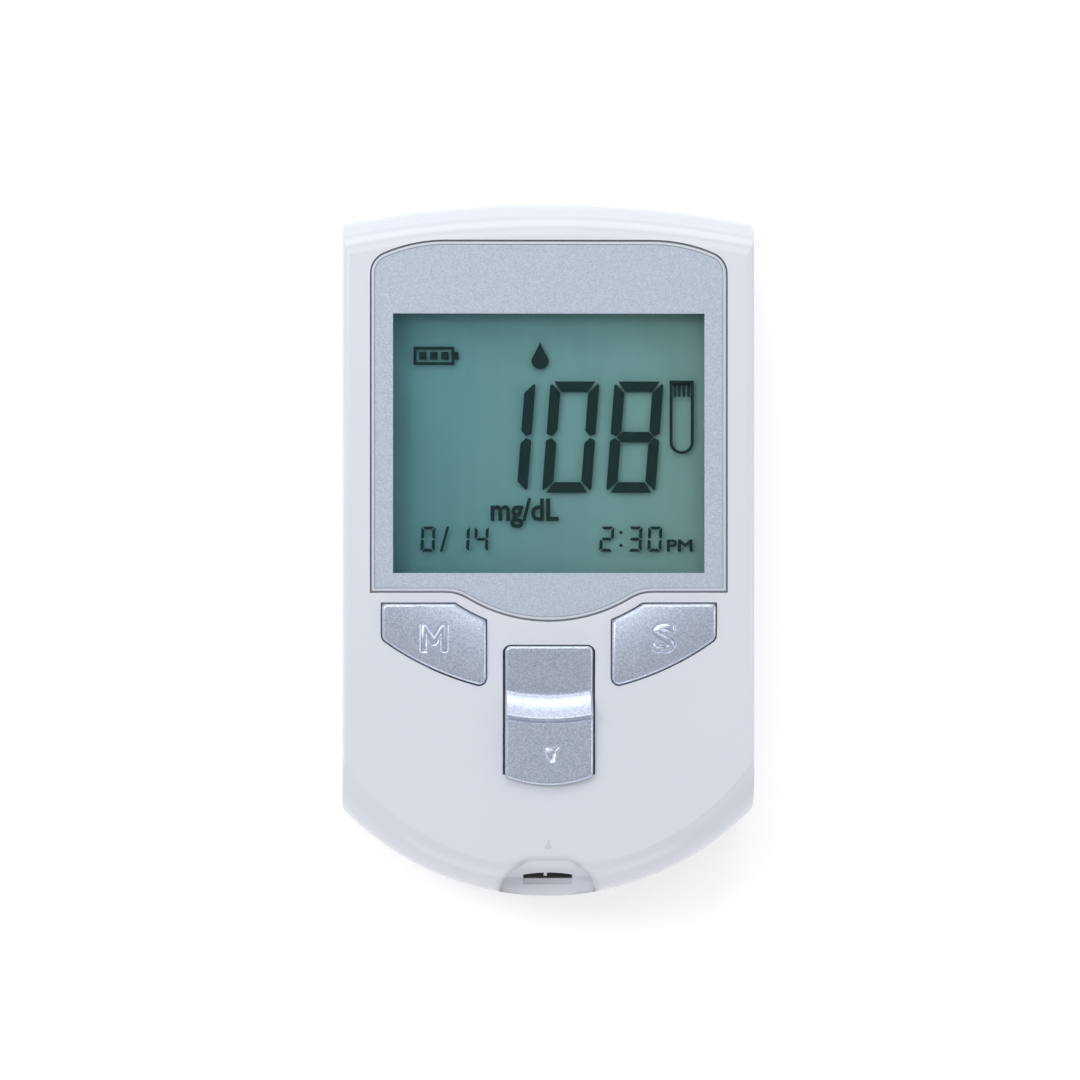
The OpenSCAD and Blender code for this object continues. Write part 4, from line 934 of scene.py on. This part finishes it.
# Painted shade: the outer grey line stands for the shade in the gap between the window and the shell.
painted_gap_shade_line = rim_line("window_painted_gap_shade", "display_lens", 0.0, 0.15, 0.03, line_grey)
inner_line = rim_line("window_inner_line", "display_lens", 0.5, 0.09, 0.03, line_grey)
print("window lines:", bead.name, painted_gap_shade_line.name, inner_line.name)

# %% [markdown]
# ## The silver print
# The silver surround shows just under the surface of the window. It is a thin sheet in the outline of
# the film that backs the window: the film's top face is copied, lifted and given a thickness.

# %% The silver print
PRINT_UNDER, PRINT_THICK = 0.025 * MM, 0.02 * MM
bm = merged("bezel_film")
bm.normal_update()
bmesh.ops.delete(bm, geom=[f for f in bm.faces if f.normal.z < UPWARD], context="FACES")
bmesh.ops.translate(bm, verts=bm.verts, vec=(0, 0, LENS_TOP - PRINT_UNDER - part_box("bezel_film")[1].z))
pull(bm, bm.faces[:], (0, 0, PRINT_THICK), keep=True)
bmesh.ops.recalc_face_normals(bm, faces=bm.faces)
silver_print = finished("silver_print", as_mesh("silver_print", bm), "case", film_paint)
print("print faces:", len(silver_print.data.polygons))

# %% [markdown]
# ## The arrow over the strip port
# A small arrow in the face, just above the scoop, shows which way a strip goes in. It is moulded with
# the shell: a triangle whose three corners lie on the face, raised by a few hundredths.

# %% The moulded arrow
PORT_ARROW_PX = ((544.4, 848.4), (552.6, 848.4), (548.5, 839.4))
PORT_ARROW_THICK = 0.07 * MM
bm = bmesh.new()
triangle = flat_face(bm, [in_mm(*corner) for corner in PORT_ARROW_PX], 0)
for corner in triangle.verts:
    corner.co.z = top_at("front_housing", corner.co.x / MM, corner.co.y / MM) - SEATED
pull(bm, [triangle], (0, 0, PORT_ARROW_THICK))
bmesh.ops.recalc_face_normals(bm, faces=bm.faces)
port_arrow = finished("port_arrow", as_mesh("port_arrow", bm), "case", white_plastic)
print("arrow faces:", len(port_arrow.data.polygons))

# %% [markdown]
# ## What the display shows
# A segment display is made of flat dark shapes under glass. Each one is a few corner points joined
# to a face and pulled up by a hair. They float a little above the reflector, so the softboxes throw
# the faint double image that such displays have.

# %% A helper for what the display shows
INK_Z = GLASS_FOOT + 0.6 * MM
INK_T = 0.03 * MM


def ink_piece(name, bm):
    """Flat faces pulled up by a hair and given the display's dark finish."""
    pull(bm, bm.faces[:], (0, 0, INK_T))
    bmesh.ops.recalc_face_normals(bm, faces=bm.faces)
    return finished(name, as_mesh(name, bm), "case", display_ink)


# %% [markdown]
# ## Digits of seven bars
# Every digit is some of the same seven bars, which are called a to g: a at the top, then clockwise to
# f, and g in the middle. Four of them are drawn, and the other three are those mirrored. A gap parts
# each bar from the next, and the whole digit leans to the right.

# %% Digits of seven bars
BARS = {"0": "abcdef", "1": "bc", "2": "abged", "3": "abgcd", "4": "fgbc", "8": "abcdefg"}


def digit(bm, text, x, y, w, h, t, gap, slant):
    """One digit whose lower left corner is at x, y before it leans to the right.
    Its width, height, bar width and gap are in millimetres, its slant is in degrees."""
    mid, cut = h / 2, t * 0.3
    shapes = {
        "a": [(cut + gap, h), (w - cut - gap, h), (w - t - gap, h - t), (t + gap, h - t)],
        "d": [(t + gap, t), (w - t - gap, t), (w - cut - gap, 0), (cut + gap, 0)],
        "g": [(t * 0.5 + gap, mid), (t + gap, mid + t / 2), (w - t - gap, mid + t / 2),
              (w - t * 0.5 - gap, mid), (w - t - gap, mid - t / 2), (t + gap, mid - t / 2)],
        "f": [(0, h - cut - gap), (cut * 0.5, h - cut * 0.5 - gap), (t, h - t - gap),
              (t, mid + t * 0.5 + gap), (t * 0.5, mid + gap), (0, mid + cut)],
    }
    lean = math.tan(math.radians(slant))
    shapes["e"] = [(px, h - py) for px, py in reversed(shapes["f"])]
    shapes["b"] = [(w - px, py) for px, py in reversed(shapes["f"])]
    shapes["c"] = [(w - px, h - py) for px, py in shapes["f"]]
    for bar in BARS[text]:
        flat_face(bm, [(x + px + lean * (py - h), y + py) for px, py in shapes[bar]], INK_Z)


# %% The reading
BIG_H = 111.8 / PX_PER_MM
BIG_W = 49.4 / PX_PER_MM
BIG_T = 10.7 / PX_PER_MM
BIG_BASE_PX = 492.6
bm = bmesh.new()
for text, left_px in (("1", 487.3), ("0", 551.5), ("8", 615.9)):
    x, y = in_mm(left_px, BIG_BASE_PX)
    digit(bm, text, x, y, BIG_W, BIG_H, BIG_T, gap=0.12, slant=4.4)
reading = ink_piece("reading_digits", bm)
print("reading faces:", len(reading.data.polygons))

# %% The date and the time
SMALL_H = 25.4 / PX_PER_MM
SMALL_W = 14.2 / PX_PER_MM
SMALL_T = 3.1 / PX_PER_MM
SMALL_BASE_PX = 551.8
SLASH_PX, SLASH_T, SLASH_LEAN = 440.2, 0.38, 0.98
COLON_PX, DOTS_PX, DOT_R = 622.2, (532.5, 545.4), 0.3
bm = bmesh.new()
for text, left_px in (("0", 422), ("1", 456.5), ("4", 475.5), ("2", 601.5), ("3", 629.8), ("0", 649.8)):
    x, y = in_mm(left_px, SMALL_BASE_PX)
    digit(bm, text, x, y, SMALL_W, SMALL_H, SMALL_T, gap=0.06, slant=2.5)
x, y = in_mm(SLASH_PX, SMALL_BASE_PX)
top = y + SMALL_H
flat_face(bm, [(x, y), (x + SLASH_T, y), (x + SLASH_LEAN + SLASH_T, top), (x + SLASH_LEAN, top)], INK_Z)
for dot_px in DOTS_PX:
    x, y = in_mm(COLON_PX, dot_px)
    flat_face(bm, [(x - DOT_R, y), (x, y - DOT_R), (x + DOT_R, y), (x, y + DOT_R)], INK_Z)
small_digits = ink_piece("date_and_time_digits", bm)
print("date and time faces:", len(small_digits.data.polygons))

# %% [markdown]
# ## Signs on the display
# The unit and the half of the day are set in a plain sans serif. A text curve is made a mesh first,
# squeezed to the width it has on the display, and then put in its place.

# %% The unit and the half of the day
UNIT_PX = (491.3, 520.8, 68.5, 22.9)
HALF_DAY_PX = (668.4, 551.8, 25.9, 12.4)


def sign(name, text, place_px, rim):
    """A word on the display, from its left end, base line, width and height in pixels."""
    bm = flat_words(name, text, *place_px, INK_Z + INK_T / 2, rim=rim, thick=INK_T)
    return finished(name, as_mesh(name, bm), "case", display_ink)


unit_sign = sign("unit_sign", "mg/dL", UNIT_PX, 0.024)
half_day = sign("half_day_sign", "PM", HALF_DAY_PX, 0.022)
print("sign faces:", len(unit_sign.data.polygons), len(half_day.data.polygons))

# %% [markdown]
# ## Symbols on the display
# The test strip symbol is a narrow outline with a round foot and four contact bars. A rectangle's
# two lower corners are rounded, the face is inset by the width of the line, and the middle is taken
# out. A battery symbol and a drop stand in the top row. The drop is a disc whose upper half is drawn
# up to a point.

# %% Helpers for outlined symbols


def outline(bm, points, line, round_at=(), radius=0.0):
    """A closed line of even width. The corners named in round_at get that radius first."""
    face = flat_face(bm, points, INK_Z)
    face.normal_update()
    if round_at:
        corners = [face.verts[i] for i in round_at]
        bmesh.ops.bevel(bm, geom=corners, offset=radius * MM, offset_type="OFFSET", segments=10,
                        profile=0.5, affect="VERTICES", material=-1)
        face = max(bm.faces, key=lambda f: f.calc_area())
        face.normal_update()
    bmesh.ops.inset_region(bm, faces=[face], thickness=line * MM, use_even_offset=True, use_boundary=True)
    bmesh.ops.delete(bm, geom=[face], context="FACES_ONLY")


def box_points(x0, y0, x1, y1):
    """The corners of a rectangle, from its lower left one and its upper right one."""
    return [(x0, y0), (x1, y0), (x1, y1), (x0, y1)]


# %% The strip symbol
LINE, HAIR = 0.42, 0.01
STRIP_LOW_PX, STRIP_HIGH_PX = (671.2, 453.7), (695.5, 379.8)
CONTACTS, CONTACT_HALF, CONTACT_FOOT = 4, 0.2, 2.3
BAND_FOOT, BAND_HEAD = 0.75, 0.4
bm = bmesh.new()
x0, y0 = in_mm(*STRIP_LOW_PX)
x1, y1 = in_mm(*STRIP_HIGH_PX)
outline(bm, box_points(x0, y0, x1, y1), LINE, (0, 1), (x1 - x0) / 2 - HAIR)
for k in range(CONTACTS):
    bar_x = x0 + LINE + (x1 - x0 - 2 * LINE) * (k + 0.5) / CONTACTS
    bar = box_points(bar_x - CONTACT_HALF, y1 - CONTACT_FOOT, bar_x + CONTACT_HALF, y1 - BAND_HEAD)
    flat_face(bm, bar, INK_Z)
flat_face(bm, box_points(x0 + BAND_HEAD, y1 - BAND_FOOT, x1 - BAND_HEAD, y1 - BAND_HEAD), INK_Z)
strip_symbol = ink_piece("strip_symbol", bm)

# %% The battery symbol
BATTERY_LOW_PX, BATTERY_HIGH_PX = (414, 364.5), (455, 346)
CHARGES, CHARGE_FIRST, CHARGE_PITCH, CHARGE_W = 3, 0.8, 1.55, 1.05
CHARGE_INSET, CAP_W = 0.75, 0.6
bm = bmesh.new()
x0, y0 = in_mm(*BATTERY_LOW_PX)
x1, y1 = in_mm(*BATTERY_HIGH_PX)
low_y, high_y = y0 + CHARGE_INSET, y1 - CHARGE_INSET
outline(bm, box_points(x0, y0, x1, y1), LINE)
flat_face(bm, box_points(x1, low_y, x1 + CAP_W, high_y), INK_Z)
for k in range(CHARGES):
    bar_x = x0 + CHARGE_FIRST + k * CHARGE_PITCH
    flat_face(bm, box_points(bar_x, low_y, bar_x + CHARGE_W, high_y), INK_Z)
battery_symbol = ink_piece("battery_symbol", bm)

# %% The drop
DROP_PX, DROP_LOWER = (541, 356.5), 0.45
DROP_R, DROP_TIP, DROP_NARROW = 1.25 * MM, 1.35 * MM, 0.85
bm = bmesh.new()
drop_x, drop_y = in_mm(*DROP_PX)
drop = bmesh.ops.create_circle(bm, cap_ends=True, segments=40, radius=DROP_R)["verts"]
for v in drop:
    rise = max(0.0, v.co.y) / DROP_R
    v.co.x *= 1 - DROP_NARROW * rise ** 1.6
    v.co.y += DROP_TIP * rise ** 2
bmesh.ops.translate(bm, verts=drop, vec=(drop_x * MM, (drop_y - DROP_LOWER) * MM, INK_Z))
drop_symbol = ink_piece("drop_symbol", bm)
print("symbols:", strip_symbol.name, battery_symbol.name, drop_symbol.name)
